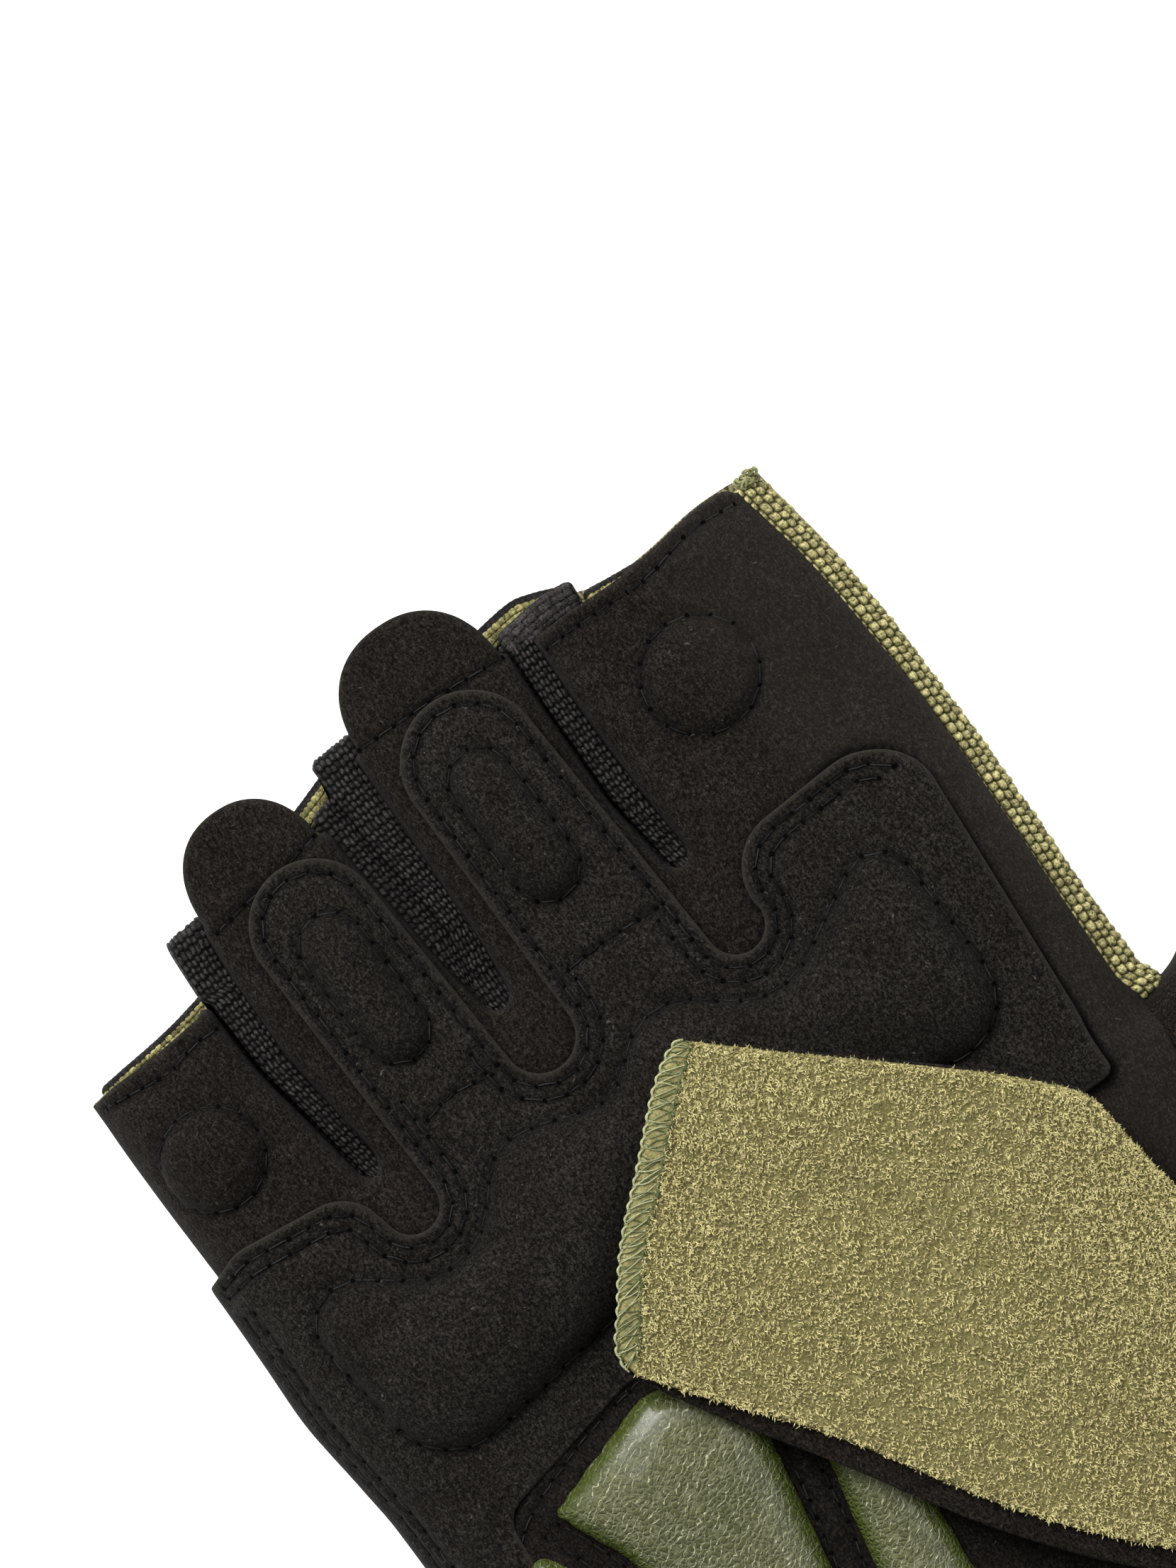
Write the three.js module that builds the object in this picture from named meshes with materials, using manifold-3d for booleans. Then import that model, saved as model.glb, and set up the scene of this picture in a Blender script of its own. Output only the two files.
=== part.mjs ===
// Fingerless sport glove for the right hand, lying palm up. Millimetres, +Z up.
// The fingers point along +Y, the thumb is on the +X side and the back of the hand rests on z = 0.

import * as THREE from 'three';
import { mergeVertices } from 'three/addons/utils/BufferGeometryUtils.js';
import Module from 'manifold-3d';

const wasm = await Module();
wasm.setup();

// Driving sizes
const GAP = 0.3;              // kept between pieces that touch
const SUEDE = 1.2;            // wall of synthetic suede
const KNIT = 1.4;             // wall of ribbed knit
const SEAM_Z = 3.5;           // height of the seam between the palm and the back
const PALM_ROLL = 9;          // how far in from its edge the palm curves down
const BACK_ROLL = 6;          // how far in from its edge the back curves up
const SLIT_ROLL = 5.5;        // how far a finger's edge curves down beside a slit
const SLIT_DIP = 2.4;         // how deep that curve is
const WRIST_Y = -134;         // where palm and back end
const HEM = 1.7;              // how far the back stands out past the palm at the finger openings
const OVERLAY_LOW = 0.35;     // underside of the palm overlay above the palm
const OVERLAY_HIGH = OVERLAY_LOW + SUEDE;
const PAD_SEAT = 0.4;         // clearance under a pad
const CUFF_HIGH = OVERLAY_LOW + 1;
const STRIP_RADIUS = 3.5;     // outer radius of the rounded knit strip on the index side
const STRIP_WALL = 1.6;
const STRIP_SEAT = { x: -0.2, z: 3.6 };   // its centre, from the palm's index edge and from z = 0
const FOURCHETTE_WALL = 1;
const FOURCHETTE_SLOT = 0.7;  // open slit between the two walls of a fourchette
const STRAP_WALL = 1.3;
const PLUSH = 1.7;
const PLUSH_MARGIN = 2.9;     // bare strap beside the plush on its wrist side
const BINDING_LENGTH = 3.5;
const BINDING_WALL = 2.2;
const CENTRE = { x: -3.3, y: -54.75 };   // middle of the glove's box in the pattern's own measure

// Cross sections of the hand. little and index are the palm's two edges and backIndex the back's
// edge on the index side; top is the palm's height, indexRim and backRim the heights of those edges.
const SECTIONS = [
  { y: 30, little: -67.4, index: 31.4, backIndex: 34.8, top: 10.2, indexRim: 6.4, backRim: 1.6 },
  { y: 18, little: -67.4, index: 33.0, backIndex: 36.3, top: 10.8, indexRim: 6.8, backRim: 1.6 },
  { y: 4, little: -67.4, index: 35.3, backIndex: 38.5, top: 11.6, indexRim: 7.2, backRim: 1.6 },
  { y: -10, little: -67.1, index: 36.3, backIndex: 39.3, top: 12.4, indexRim: 7.4, backRim: 1.6 },
  { y: -24, little: -66.7, index: 36.7, backIndex: 39.5, top: 13, indexRim: 7.4, backRim: 1.6 },
  { y: -40, little: -66.8, index: 36.6, backIndex: 39.4, top: 13, indexRim: 7.4, backRim: 1.6 },
  { y: -52, little: -65.6, index: 36.7, backIndex: 39.2, top: 13, indexRim: 7.4, backRim: 1.6 },
  { y: -56, little: -65.1, index: 38.2, backIndex: 38.4, top: 13, indexRim: 4.2, backRim: 3 },
  { y: -60, little: -64.9, index: 37.7, backIndex: 37.8, top: 13, indexRim: 10.6, backRim: 0.8 },
  { y: -64, little: -64.7, index: 37.1, backIndex: 37.1, top: 13, indexRim: 12.2, backRim: 0.3 },
  { y: -78, little: -62.9, index: 35.3, backIndex: 35.3, top: 12.9, indexRim: 12.2, backRim: 0.3 },
  { y: -83, little: -61.9, index: 34.7, backIndex: 34.7, top: 12.8, indexRim: 10.4, backRim: 0.8 },
  { y: -87, little: -61.2, index: 34.2, backIndex: 34.2, top: 12.7, indexRim: 3.9, backRim: 3.2 },
  { y: -104, little: -59, index: 32, backIndex: 32, top: 12.2, indexRim: 3.7, backRim: 3.3 },
  { y: WRIST_Y, little: -58, index: 31, backIndex: 31, top: 11, indexRim: 3.7, backRim: 3.3 },
];

// Heights along the glove at which the sheets are shaped
const PALM_ROWS = [30, 22, 16, 10, 4, -3, -10, -15, -20, -26, -33, -42, -52, -56, -60, -64, -71,
  -78, -83, -87, -95, -104, -118, WRIST_Y];
const BACK_ROWS = [24, 18, 4, -10, -24, -40, -52, -56, -60, -64, -78, -83, -87, -104, WRIST_Y];
const ROLL_ANGLES = [0, 25, 50, 90];
const BACK_COLUMNS = [-40, -10, 20];
const OVERLAY_ROWS = PALM_ROWS.filter((y) => y <= 22);
const CUFF_ROWS = PALM_ROWS.filter((y) => y <= -52);

// The three slits between the fingers: the palm's two edges beside each, from opening to crotch
const SLITS = [
  {
    name: 'ring_little',
    end: -22.6,
    rows: [
      { y: 13.5, left: -49.4, right: -45.2 },
      { y: 4, left: -49.7, right: -45.8 },
      { y: -4, left: -49.4, right: -45.8 },
      { y: -12, left: -48.1, right: -45 },
      { y: -20.5, left: -46.6, right: -43.9 },
    ],
  },
  {
    name: 'middle_ring',
    end: -15.4,
    rows: [
      { y: 19, left: -27.6, right: -20.1 },
      { y: 8, left: -26.9, right: -20.1 },
      { y: 0, left: -25.9, right: -20.2 },
      { y: -8, left: -25, right: -20.3 },
      { y: -13.5, left: -24, right: -20.8 },
    ],
  },
  {
    name: 'index_middle',
    end: -13.8,
    rows: [
      { y: 20.5, left: 1.1, right: 4.3 },
      { y: 8, left: 0.8, right: 4.1 },
      { y: -2, left: 0.8, right: 4.3 },
      { y: -8, left: 1.5, right: 4.6 },
      { y: -12.2, left: 2.1, right: 4.9 },
    ],
  },
];

// Finger openings, thumb side first: where each hem crosses the two sides of its finger
const OPENINGS = {
  index: { right: { x: 33, y: 18.2 }, left: { x: 4.3, y: 17 } },
  middle: { right: { x: 0.9, y: 17.6 }, left: { x: -20.1, y: 17.6 } },
  ring: { right: { x: -27.6, y: 12.8 }, left: { x: -45.3, y: 11 } },
  little: { right: { x: -49.7, y: 3.8 }, left: { x: -67.4, y: 2.2 } },
};

// Pull tabs that carry the palm on past the middle and ring openings
const TABS = {
  middle: { x: -9.5, y: 17.8, halfWidth: 9.7, length: 10.5 },
  ring: { x: -36.6, y: 11.9, halfWidth: 8.3, length: 9.8 },
};

// Outlines below are belts laid round circles. A positive radius is a corner that turns outwards,
// a negative one a hollow, and the rows go anticlockwise.
const BAND_EDGE = [
  { x: 24, y: -61.4, r: 1.2 },
  { x: -8, y: -60, r: 3 },
  { x: -35.5, y: -61, r: 3.6 },
  { x: -52, y: -64.8, r: 3.6 },
  { x: -57.3, y: -69.3, r: 2 },
];

const CUFF_EDGE = [
  { x: -57.9, y: -130, r: 1 },
  { x: 22, y: -130, r: 1 },
  ...BAND_EDGE,
];

const OVERLAY_EDGE = [
  { x: -75, y: -131, r: 0.3 },
  { x: -59.7, y: -131, r: 0.3 },
  ...[...BAND_EDGE].reverse().map(({ x, y, r }) => ({ x, y, r: -(r + GAP) })).slice(0, -1),
  { x: 28.8, y: -59.6, r: 0.9 },
  { x: 24.2, y: -21.5, r: 7.4 },
  { x: 14.6, y: -21.5, r: 6.8 },
  { x: 4.5, y: -22.6, r: -3.5 },
  { x: -9.3, y: 9.6, r: 8 },
  { x: -20.9, y: -20.2, r: -4.3 },
  { x: -34.4, y: 4.6, r: 7.4 },
  { x: -43.7, y: -27.6, r: -3.4 },
  { x: -53, y: -27.4, r: 5.6 },
  { x: -62, y: -24, r: 3.2 },
  { x: -75, y: -26.5, r: 0.3 },
];

const HEART_EDGE = [
  { x: -51.5, y: -46.5, r: 7.5 },
  { x: -4, y: -66, r: -19 },
  { x: 18, y: -42.5, r: 7 },
  { x: 20.3, y: -28.3, r: 4 },
  { x: 4.8, y: -22.2, r: -9 },
  { x: -8.6, y: -32.3, r: 7.2 },
  { x: -19.4, y: -24.5, r: -5.8 },
  { x: -29.8, y: -34, r: 6.3 },
  { x: -43.6, y: -27.2, r: -8.7 },
  { x: -56, y: -34.7, r: 4.6 },
];

// Pads: the line that each is crowned along, its outline, its rise and the layer it lies on
const PADS = {
  palm_pad: {
    spine: [{ x: -50, y: -42 }, { x: -29, y: -38 }, { x: -8, y: -36 }, { x: 16, y: -37 }],
    edge: HEART_EDGE,
    rise: 3,
    seat: OVERLAY_HIGH,
    look: 'suedeOverlay',
  },
  middle_pad: {
    spine: [{ x: -9.7, y: 6.2 }, { x: -9.3, y: -4 }],
    edge: [{ x: -9.3, y: -5, r: 4 }, { x: -9.7, y: 7.2, r: 3.9 }],
    rise: 1.9,
    seat: OVERLAY_HIGH,
    look: 'suedeOverlay',
  },
  ring_pad: {
    spine: [{ x: -34.1, y: 0.6 }, { x: -33.7, y: -9.5 }],
    edge: [{ x: -33.6, y: -10.5, r: 3.8 }, { x: -34.2, y: 1.6, r: 3.9 }],
    rise: 1.9,
    seat: OVERLAY_HIGH,
    look: 'suedeOverlay',
  },
  index_pad: {
    spine: [{ x: 17.3, y: 2.9 }, { x: 17.7, y: 2.9 }],
    edge: [{ x: 17.3, y: 2.9, r: 6.9 }, { x: 17.7, y: 2.9, r: 6.9 }],
    rise: 2,
    seat: 0,
    look: 'suede',
  },
  little_pad: {
    spine: [{ x: -59.3, y: -10.5 }, { x: -58.9, y: -10.5 }],
    edge: [{ x: -59.3, y: -10.5, r: 6.1 }, { x: -58.9, y: -10.5, r: 6.1 }],
    rise: 1.8,
    seat: 0,
    look: 'suede',
  },
  cuff_pad_inner: {
    spine: [{ x: -15.6, y: -66 }, { x: -21.8, y: -107 }],
    edge: [
      { x: -25.3, y: -111.5, r: 3 },
      { x: -19.2, y: -111.5, r: 3 },
      { x: -13.9, y: -63, r: 1.8 },
      { x: -16.4, y: -63, r: 1.8 },
    ],
    rise: 3.1,
    seat: CUFF_HIGH,
    look: 'leather',
  },
  cuff_pad_middle: {
    spine: [{ x: -36, y: -71 }, { x: -38, y: -107 }],
    edge: [
      { x: -39.9, y: -112, r: 3 },
      { x: -35.4, y: -112, r: 3 },
      { x: -26, y: -64.1, r: 2 },
      { x: -36, y: -63.4, r: 3 },
      { x: -48, y: -66.9, r: 1.8 },
      { x: -60.6, y: -79, r: -15 },
    ],
    rise: 3.2,
    seat: CUFF_HIGH,
    look: 'leather',
  },
  cuff_pad_outer: {
    spine: [{ x: -54, y: -72 }, { x: -52, y: -107 }],
    edge: [
      { x: -53.2, y: -111.5, r: 2.6 },
      { x: -50.5, y: -111.5, r: 2.6 },
      { x: -53.6, y: -73.5, r: 2 },
      { x: -54.9, y: -69.9, r: 1.4 },
      { x: -55.8, y: -70.6, r: 1.3 },
    ],
    rise: 2.9,
    seat: CUFF_HIGH,
    look: 'leather',
  },
};
const PAD_RINGS = [0, 0.14, 0.36, 0.66];
const PAD_EDGE = 0.35;          // height of a pad's edge

// Thumb stall: its two sides from the hand to the opening, and its height
const THUMB_ROWS = [
  { ax: 38.5, ay: -56, bx: 34.5, by: -87, top: 12.4 },
  { ax: 42.4, ay: -53.4, bx: 43, by: -82, top: 12.2 },
  { ax: 47.8, ay: -49.2, bx: 52.2, by: -75.6, top: 11.7 },
  { ax: 53.2, ay: -45, bx: 61.4, by: -69.4, top: 11.2 },
];
const THUMB_STEPS = [0, 0.045, 0.13, 0.26, 0.5, 0.74, 0.87, 0.955, 1];
const THUMB_ROLL = 0.26;

// Wrist strap: its edge on the wrist side (l), its edge on the finger side (u), and its underside
const STRAP_ROWS = [
  { lx: -35.1, ly: -55.8, lz: 18.4, ux: -7.6, uy: -29.4, uz: 18.4 },
  { lx: -29.2, ly: -65.8, lz: 18.3, ux: 1.2, uy: -37.2, uz: 18.4 },
  { lx: -20.1, ly: -79.6, lz: 18.2, ux: 11.5, uy: -46, uz: 18.4 },
  { lx: -10, ly: -95.4, lz: 17.9, ux: 21.6, uy: -55.2, uz: 18.3 },
  { lx: -0.4, ly: -107, lz: 17.2, ux: 26.3, uy: -61.4, uz: 17.8 },
  { lx: 9, ly: -115.4, lz: 16.2, ux: 27.8, uy: -72, uz: 17.2 },
  { lx: 20, ly: -122, lz: 14.6, ux: 29.6, uy: -82, uz: 16 },
  { lx: 27, ly: -125.6, lz: 12.1, ux: 31.6, uy: -89.4, uz: 13.6 },
  { lx: 30.2, ly: -127.2, lz: 8.4, ux: 33.5, uy: -92.4, uz: 9.4 },
  { lx: 31.7, ly: -128, lz: 3.9, ux: 34.2, uy: -94, uz: 3.9 },
];
const STRAP_STEPS = [0, 0.25, 0.5, 0.75, 1];
const STRAP_CROWN = 0.5;      // how much the strap bows up across its width
const PLUSH_LAST_ROW = 8;

const FINISHES = {
  suede: new THREE.MeshStandardMaterial({ color: 0x26231f, roughness: 0.95, metalness: 0 }),
  suedeOverlay: new THREE.MeshStandardMaterial({ color: 0x242321, roughness: 0.95, metalness: 0 }),
  knitBlack: new THREE.MeshStandardMaterial({ color: 0x262222, roughness: 0.9, metalness: 0 }),
  knitGreen: new THREE.MeshStandardMaterial({ color: 0x968e5f, roughness: 0.9, metalness: 0 }),
  leather: new THREE.MeshStandardMaterial({ color: 0x6f7050, roughness: 0.45, metalness: 0 }),
  plush: new THREE.MeshStandardMaterial({ color: 0x90875a, roughness: 1, metalness: 0 }),
};

// A quarter ellipse from 0 at its foot to 1 where it runs out level
function arch(t) {
  const u = 1 - Math.min(Math.max(t, 0), 1);
  return Math.sqrt(1 - u * u);
}

function smoothStep(t) {
  const u = Math.min(Math.max(t, 0), 1);
  return u * u * (3 - 2 * u);
}

// The values of a table's columns at height y, between its rows, which go down the glove
function rowAt(rows, y) {
  const level = Math.min(Math.max(y, rows.at(-1).y), rows[0].y);
  const k = Math.max(1, rows.findIndex((row) => row.y <= level));
  const [high, low] = [rows[k - 1], rows[k]];
  const share = (high.y - level) / (high.y - low.y);
  const result = {};
  for (const column of Object.keys(high)) {
    result[column] = high[column] + (low[column] - high[column]) * share;
  }
  return result;
}

// How far the palm is drawn down at a point by the slits beside it
function slitDip(x, y) {
  let dip = 0;
  for (const slit of SLITS) {
    const { left, right } = rowAt(slit.rows, y);
    const away = Math.max(left - x, x - right, 0);
    const fade = smoothStep((y - slit.end + 6) / 10);
    dip = Math.max(dip, SLIT_DIP * fade * (1 - arch(away / SLIT_ROLL)));
  }
  return dip;
}

function palmHeight(x, y) {
  const s = rowAt(SECTIONS, y);
  const toLittle = arch((x - s.little) / PALM_ROLL);
  const toIndex = arch((s.index - x) / PALM_ROLL);
  const littleSide = SEAM_Z + (s.top - SEAM_Z) * toLittle;
  const indexSide = s.indexRim + (s.top - s.indexRim) * toIndex;
  return Math.min(littleSide, indexSide) - slitDip(x, y);
}

// The stretch across the hand between the two rolled edges
function flatSpan(y) {
  const s = rowAt(SECTIONS, y);
  const left = s.little + PALM_ROLL;
  return { left, width: s.index - PALM_ROLL - left };
}

// Places across the flat stretch: beside each slit, and on the middle of each finger
function palmColumns(y) {
  const crotch = -20;
  const level = Math.max(y, crotch);
  const besideSlit = [SLIT_ROLL, SLIT_ROLL * 0.3, 0];
  const columns = [];
  let previous = null;
  for (const slit of SLITS) {
    const { left, right } = rowAt(slit.rows, level);
    if (previous !== null) columns.push((previous + left) / 2);
    columns.push(...besideSlit.map((d) => left - d), ...[...besideSlit].reverse().map((d) => right + d));
    previous = right;
  }
  columns.push(18);
  const [here, there] = [flatSpan(y), flatSpan(level)];
  return columns.map((x) => here.left + (x - there.left) / there.width * here.width);
}

// One row of points across the palm, moved out from its outer face by a distance
function palmRow(y, out) {
  const s = rowAt(SECTIONS, y);
  const points = [];
  for (const degrees of ROLL_ANGLES) {
    const angle = THREE.MathUtils.degToRad(degrees);
    const x = s.little + PALM_ROLL - (PALM_ROLL + out) * Math.cos(angle);
    const z = SEAM_Z + GAP / 2 + (s.top - SEAM_Z - GAP / 2 + out) * Math.sin(angle);
    points.push(new THREE.Vector3(x, y, z));
  }
  for (const x of palmColumns(y)) {
    points.push(new THREE.Vector3(x, y, s.top + out - slitDip(x, y)));
  }
  for (const degrees of [...ROLL_ANGLES].reverse()) {
    const angle = THREE.MathUtils.degToRad(degrees);
    const x = s.index - PALM_ROLL + (PALM_ROLL + out) * Math.cos(angle);
    const z = s.indexRim + (s.top - s.indexRim + out) * Math.sin(angle);
    points.push(new THREE.Vector3(x, y, z));
  }
  return points;
}

// One row of points across the back, moved in from its outer face by a distance
function backRow(y, inward) {
  const s = rowAt(SECTIONS, y);
  const littleRim = SEAM_Z - GAP / 2;
  const points = [];
  for (const degrees of ROLL_ANGLES) {
    const angle = THREE.MathUtils.degToRad(degrees);
    const x = s.little + BACK_ROLL - (BACK_ROLL - inward) * Math.cos(angle);
    points.push(new THREE.Vector3(x, y, littleRim - (littleRim - inward) * Math.sin(angle)));
  }
  for (const x of BACK_COLUMNS) points.push(new THREE.Vector3(x, y, inward));
  for (const degrees of [...ROLL_ANGLES].reverse()) {
    const angle = THREE.MathUtils.degToRad(degrees);
    const x = s.backIndex - BACK_ROLL + (BACK_ROLL - inward) * Math.cos(angle);
    points.push(new THREE.Vector3(x, y, s.backRim - (s.backRim - inward) * Math.sin(angle)));
  }
  return points;
}

function buildGeometry(points, triangles) {
  const geometry = new THREE.BufferGeometry();
  geometry.setAttribute('position', new THREE.Float32BufferAttribute(points.flatMap((p) => p.toArray()), 3));
  let volume = 0;
  for (const [a, b, c] of triangles) {
    volume += points[a].dot(points[b].clone().cross(points[c]));
  }
  const outward = volume > 0 ? triangles : triangles.map(([a, b, c]) => [a, c, b]);
  geometry.setIndex(outward.flat());
  return geometry;
}

// A closed wall between two grids of points that have the same rows and columns
function wallBetween(outerRows, innerRows) {
  const rowCount = outerRows.length;
  const columnCount = outerRows[0].length;
  const points = [...outerRows.flat(), ...innerRows.flat()];
  const outer = (i, j) => i * columnCount + j;
  const inner = (i, j) => rowCount * columnCount + i * columnCount + j;
  const triangles = [];
  const quad = (a, b, c, d) => triangles.push([a, b, c], [a, c, d]);
  for (let i = 0; i < rowCount - 1; i += 1) {
    for (let j = 0; j < columnCount - 1; j += 1) {
      quad(outer(i, j), outer(i + 1, j), outer(i + 1, j + 1), outer(i, j + 1));
      quad(inner(i, j), inner(i, j + 1), inner(i + 1, j + 1), inner(i + 1, j));
    }
    quad(outer(i, 0), inner(i, 0), inner(i + 1, 0), outer(i + 1, 0));
    const last = columnCount - 1;
    quad(outer(i, last), outer(i + 1, last), inner(i + 1, last), inner(i, last));
  }
  for (let j = 0; j < columnCount - 1; j += 1) {
    const last = rowCount - 1;
    quad(outer(0, j), outer(0, j + 1), inner(0, j + 1), inner(0, j));
    quad(outer(last, j), inner(last, j), inner(last, j + 1), outer(last, j + 1));
  }
  return buildGeometry(points, triangles);
}

// The points of a belt laid round a row of circles
function beltPoints(circles, step = 24) {
  const points = [];
  const headings = circles.map((circle, i) => {
    const next = circles[(i + 1) % circles.length];
    const base = Math.atan2(next.y - circle.y, next.x - circle.x);
    const apart = Math.hypot(next.x - circle.x, next.y - circle.y);
    return base + Math.asin(THREE.MathUtils.clamp((circle.r - next.r) / apart, -1, 1));
  });
  circles.forEach((circle, i) => {
    const from = headings[(i + circles.length - 1) % circles.length];
    let turn = headings[i] - from;
    while (turn * Math.sign(circle.r) < -1e-6) turn += Math.sign(circle.r) * 2 * Math.PI;
    while (Math.abs(turn) >= 2 * Math.PI) turn -= Math.sign(turn) * 2 * Math.PI;
    const steps = Math.max(1, Math.ceil(Math.abs(THREE.MathUtils.radToDeg(turn)) / step));
    for (let k = 0; k <= steps; k += 1) {
      const a = from + turn * k / steps;
      points.push(new THREE.Vector2(circle.x + circle.r * Math.sin(a), circle.y - circle.r * Math.cos(a)));
    }
  });
  return points.filter((p, i) => p.distanceTo(points[(i + 1) % points.length]) > 0.05);
}

function prism(points, low = -5, high = 40) {
  const geometry = new THREE.ExtrudeGeometry(new THREE.Shape(points), { depth: high - low, bevelEnabled: false });
  return geometry.translate(0, 0, low);
}

function toManifold(geometry) {
  const bare = geometry.clone();
  bare.deleteAttribute('normal');
  bare.deleteAttribute('uv');
  const merged = mergeVertices(bare, 1e-4);
  return new wasm.Manifold(new wasm.Mesh({
    numProp: 3,
    vertProperties: new Float32Array(merged.attributes.position.array),
    triVerts: new Uint32Array(merged.index.array),
  }));
}

function fromManifold(solid) {
  const mesh = solid.getMesh();
  const geometry = new THREE.BufferGeometry();
  geometry.setAttribute('position', new THREE.BufferAttribute(new Float32Array(mesh.vertProperties), 3));
  geometry.setIndex(new THREE.BufferAttribute(new Uint32Array(mesh.triVerts), 1));
  return geometry;
}

function cutToOutline(geometry, outline) {
  return fromManifold(toManifold(geometry).intersect(toManifold(prism(outline))));
}

// A slit's outline, down its thumb side, round the crotch and up the other side
function slitPoints(slit, clearance) {
  const right = slit.rows.map((row) => new THREE.Vector2(row.right + clearance, row.y));
  const left = slit.rows.map((row) => new THREE.Vector2(row.left - clearance, row.y)).reverse();
  const last = slit.rows.at(-1);
  const middle = (last.left + last.right) / 2;
  const quarter = (last.right - last.left) / 4 + clearance;
  const bottom = slit.end - clearance;
  const nose = [
    new THREE.Vector2(middle + quarter, bottom + 0.4),
    new THREE.Vector2(middle - quarter, bottom + 0.4),
  ];
  return [...right, ...nose, ...left];
}

function tabPoints({ x, y, halfWidth, length }) {
  const steps = 10;
  return Array.from({ length: steps + 1 }, (_, k) => {
    const a = Math.PI * k / steps;
    return new THREE.Vector2(x + halfWidth * Math.cos(a), y + length * Math.sin(a));
  });
}

// Outline of a whole hand panel: round the wrist, up the thumb side and along the finger ends
function handOutline({ hem, tabs, clearance }) {
  const [ringLittle, middleRing, indexMiddle] = SLITS;
  const side = 85;
  const trim = (slit, top) => slitPoints(slit, clearance).filter((p) => p.y < top);
  const corner = ({ x, y }) => new THREE.Vector2(x, y + hem);
  const { index, middle, ring, little } = OPENINGS;
  return [
    new THREE.Vector2(-side, WRIST_Y - 5),
    new THREE.Vector2(side, WRIST_Y - 5),
    new THREE.Vector2(side, index.right.y + hem),
    corner(index.right),
    corner(index.left),
    ...trim(indexMiddle, index.left.y),
    corner(middle.right),
    ...(tabs ? tabPoints(TABS.middle) : []),
    corner(middle.left),
    ...trim(middleRing, ring.right.y),
    corner(ring.right),
    ...(tabs ? tabPoints(TABS.ring) : []),
    corner(ring.left),
    ...trim(ringLittle, little.right.y),
    corner(little.right),
    corner(little.left),
    new THREE.Vector2(-side, little.left.y + hem),
  ];
}

function palmPanel() {
  const outer = PALM_ROWS.map((y) => palmRow(y, 0));
  const inner = PALM_ROWS.map((y) => palmRow(y, -SUEDE));
  return cutToOutline(wallBetween(outer, inner), handOutline({ hem: 0, tabs: true, clearance: 0 }));
}

function backPanel() {
  const outer = BACK_ROWS.map((y) => backRow(y, 0));
  const inner = BACK_ROWS.map((y) => backRow(y, KNIT));
  return cutToOutline(wallBetween(outer, inner), handOutline({ hem: HEM, tabs: false, clearance: 0 }));
}

function layerOverPalm(low, high, edge, rows) {
  const outer = rows.map((y) => palmRow(y, high));
  const inner = rows.map((y) => palmRow(y, low));
  return cutToOutline(wallBetween(outer, inner), beltPoints(edge));
}

// Height of the face that a pad lies on
function seatHeight(seat, x, y) {
  return palmHeight(x, y) + seat + PAD_SEAT;
}

function nearestOnSpine(spine, p) {
  let best = null;
  for (let k = 0; k + 1 < spine.length; k += 1) {
    const a = new THREE.Vector2(spine[k].x, spine[k].y);
    const b = new THREE.Vector2(spine[k + 1].x, spine[k + 1].y);
    const along = b.clone().sub(a);
    const share = THREE.MathUtils.clamp(p.clone().sub(a).dot(along) / along.lengthSq(), 0, 1);
    const point = a.addScaledVector(along, share);
    if (best === null || point.distanceTo(p) < best.distanceTo(p)) best = point;
  }
  return best;
}

// A crowned pad: rings of points that shrink from its outline towards its spine, over a fitted underside
function crownedPad({ spine, edge, rise, seat }) {
  const rim = beltPoints(edge, 30);
  const ringCount = PAD_RINGS.length;
  const count = rim.length;
  const rings = PAD_RINGS.map((share) => rim.map((p) => p.clone().lerp(nearestOnSpine(spine, p), share)));
  const points = [];
  for (const crown of [1, 0]) {
    rings.forEach((ring, i) => {
      const lift = crown * (PAD_EDGE + (rise - PAD_EDGE) * arch(PAD_RINGS[i] * 1.15));
      for (const q of ring) points.push(new THREE.Vector3(q.x, q.y, seatHeight(seat, q.x, q.y) + lift));
    });
  }
  const at = (layer, ring, k) => (layer * ringCount + ring) * count + k % count;
  const triangles = [];
  const quad = (a, b, c, d) => triangles.push([a, b, c], [a, c, d]);
  for (let k = 0; k < count; k += 1) {
    for (let ring = 0; ring < ringCount - 1; ring += 1) {
      quad(at(0, ring, k), at(0, ring, k + 1), at(0, ring + 1, k + 1), at(0, ring + 1, k));
      quad(at(1, ring, k), at(1, ring + 1, k), at(1, ring + 1, k + 1), at(1, ring, k + 1));
    }
    quad(at(0, 0, k), at(1, 0, k), at(1, 0, k + 1), at(0, 0, k + 1));
  }
  for (const [a, b, c] of THREE.ShapeUtils.triangulateShape(rings.at(-1), [])) {
    triangles.push([at(0, ringCount - 1, a), at(0, ringCount - 1, b), at(0, ringCount - 1, c)]);
    triangles.push([at(1, ringCount - 1, a), at(1, ringCount - 1, c), at(1, ringCount - 1, b)]);
  }
  return buildGeometry(points, triangles);
}

// A solid lofted through closed loops that have the same number of points and are convex
function loft(loops) {
  const count = loops[0].length;
  const points = loops.flat();
  const at = (i, k) => i * count + k % count;
  const triangles = [];
  for (let i = 0; i + 1 < loops.length; i += 1) {
    for (let k = 0; k < count; k += 1) {
      triangles.push([at(i, k), at(i + 1, k), at(i + 1, k + 1)], [at(i, k), at(i + 1, k + 1), at(i, k + 1)]);
    }
  }
  const last = loops.length - 1;
  for (let k = 1; k + 1 < count; k += 1) {
    triangles.push([at(0, 0), at(0, k), at(0, k + 1)], [at(last, 0), at(last, k + 1), at(last, k)]);
  }
  return buildGeometry(points, triangles);
}

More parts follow.
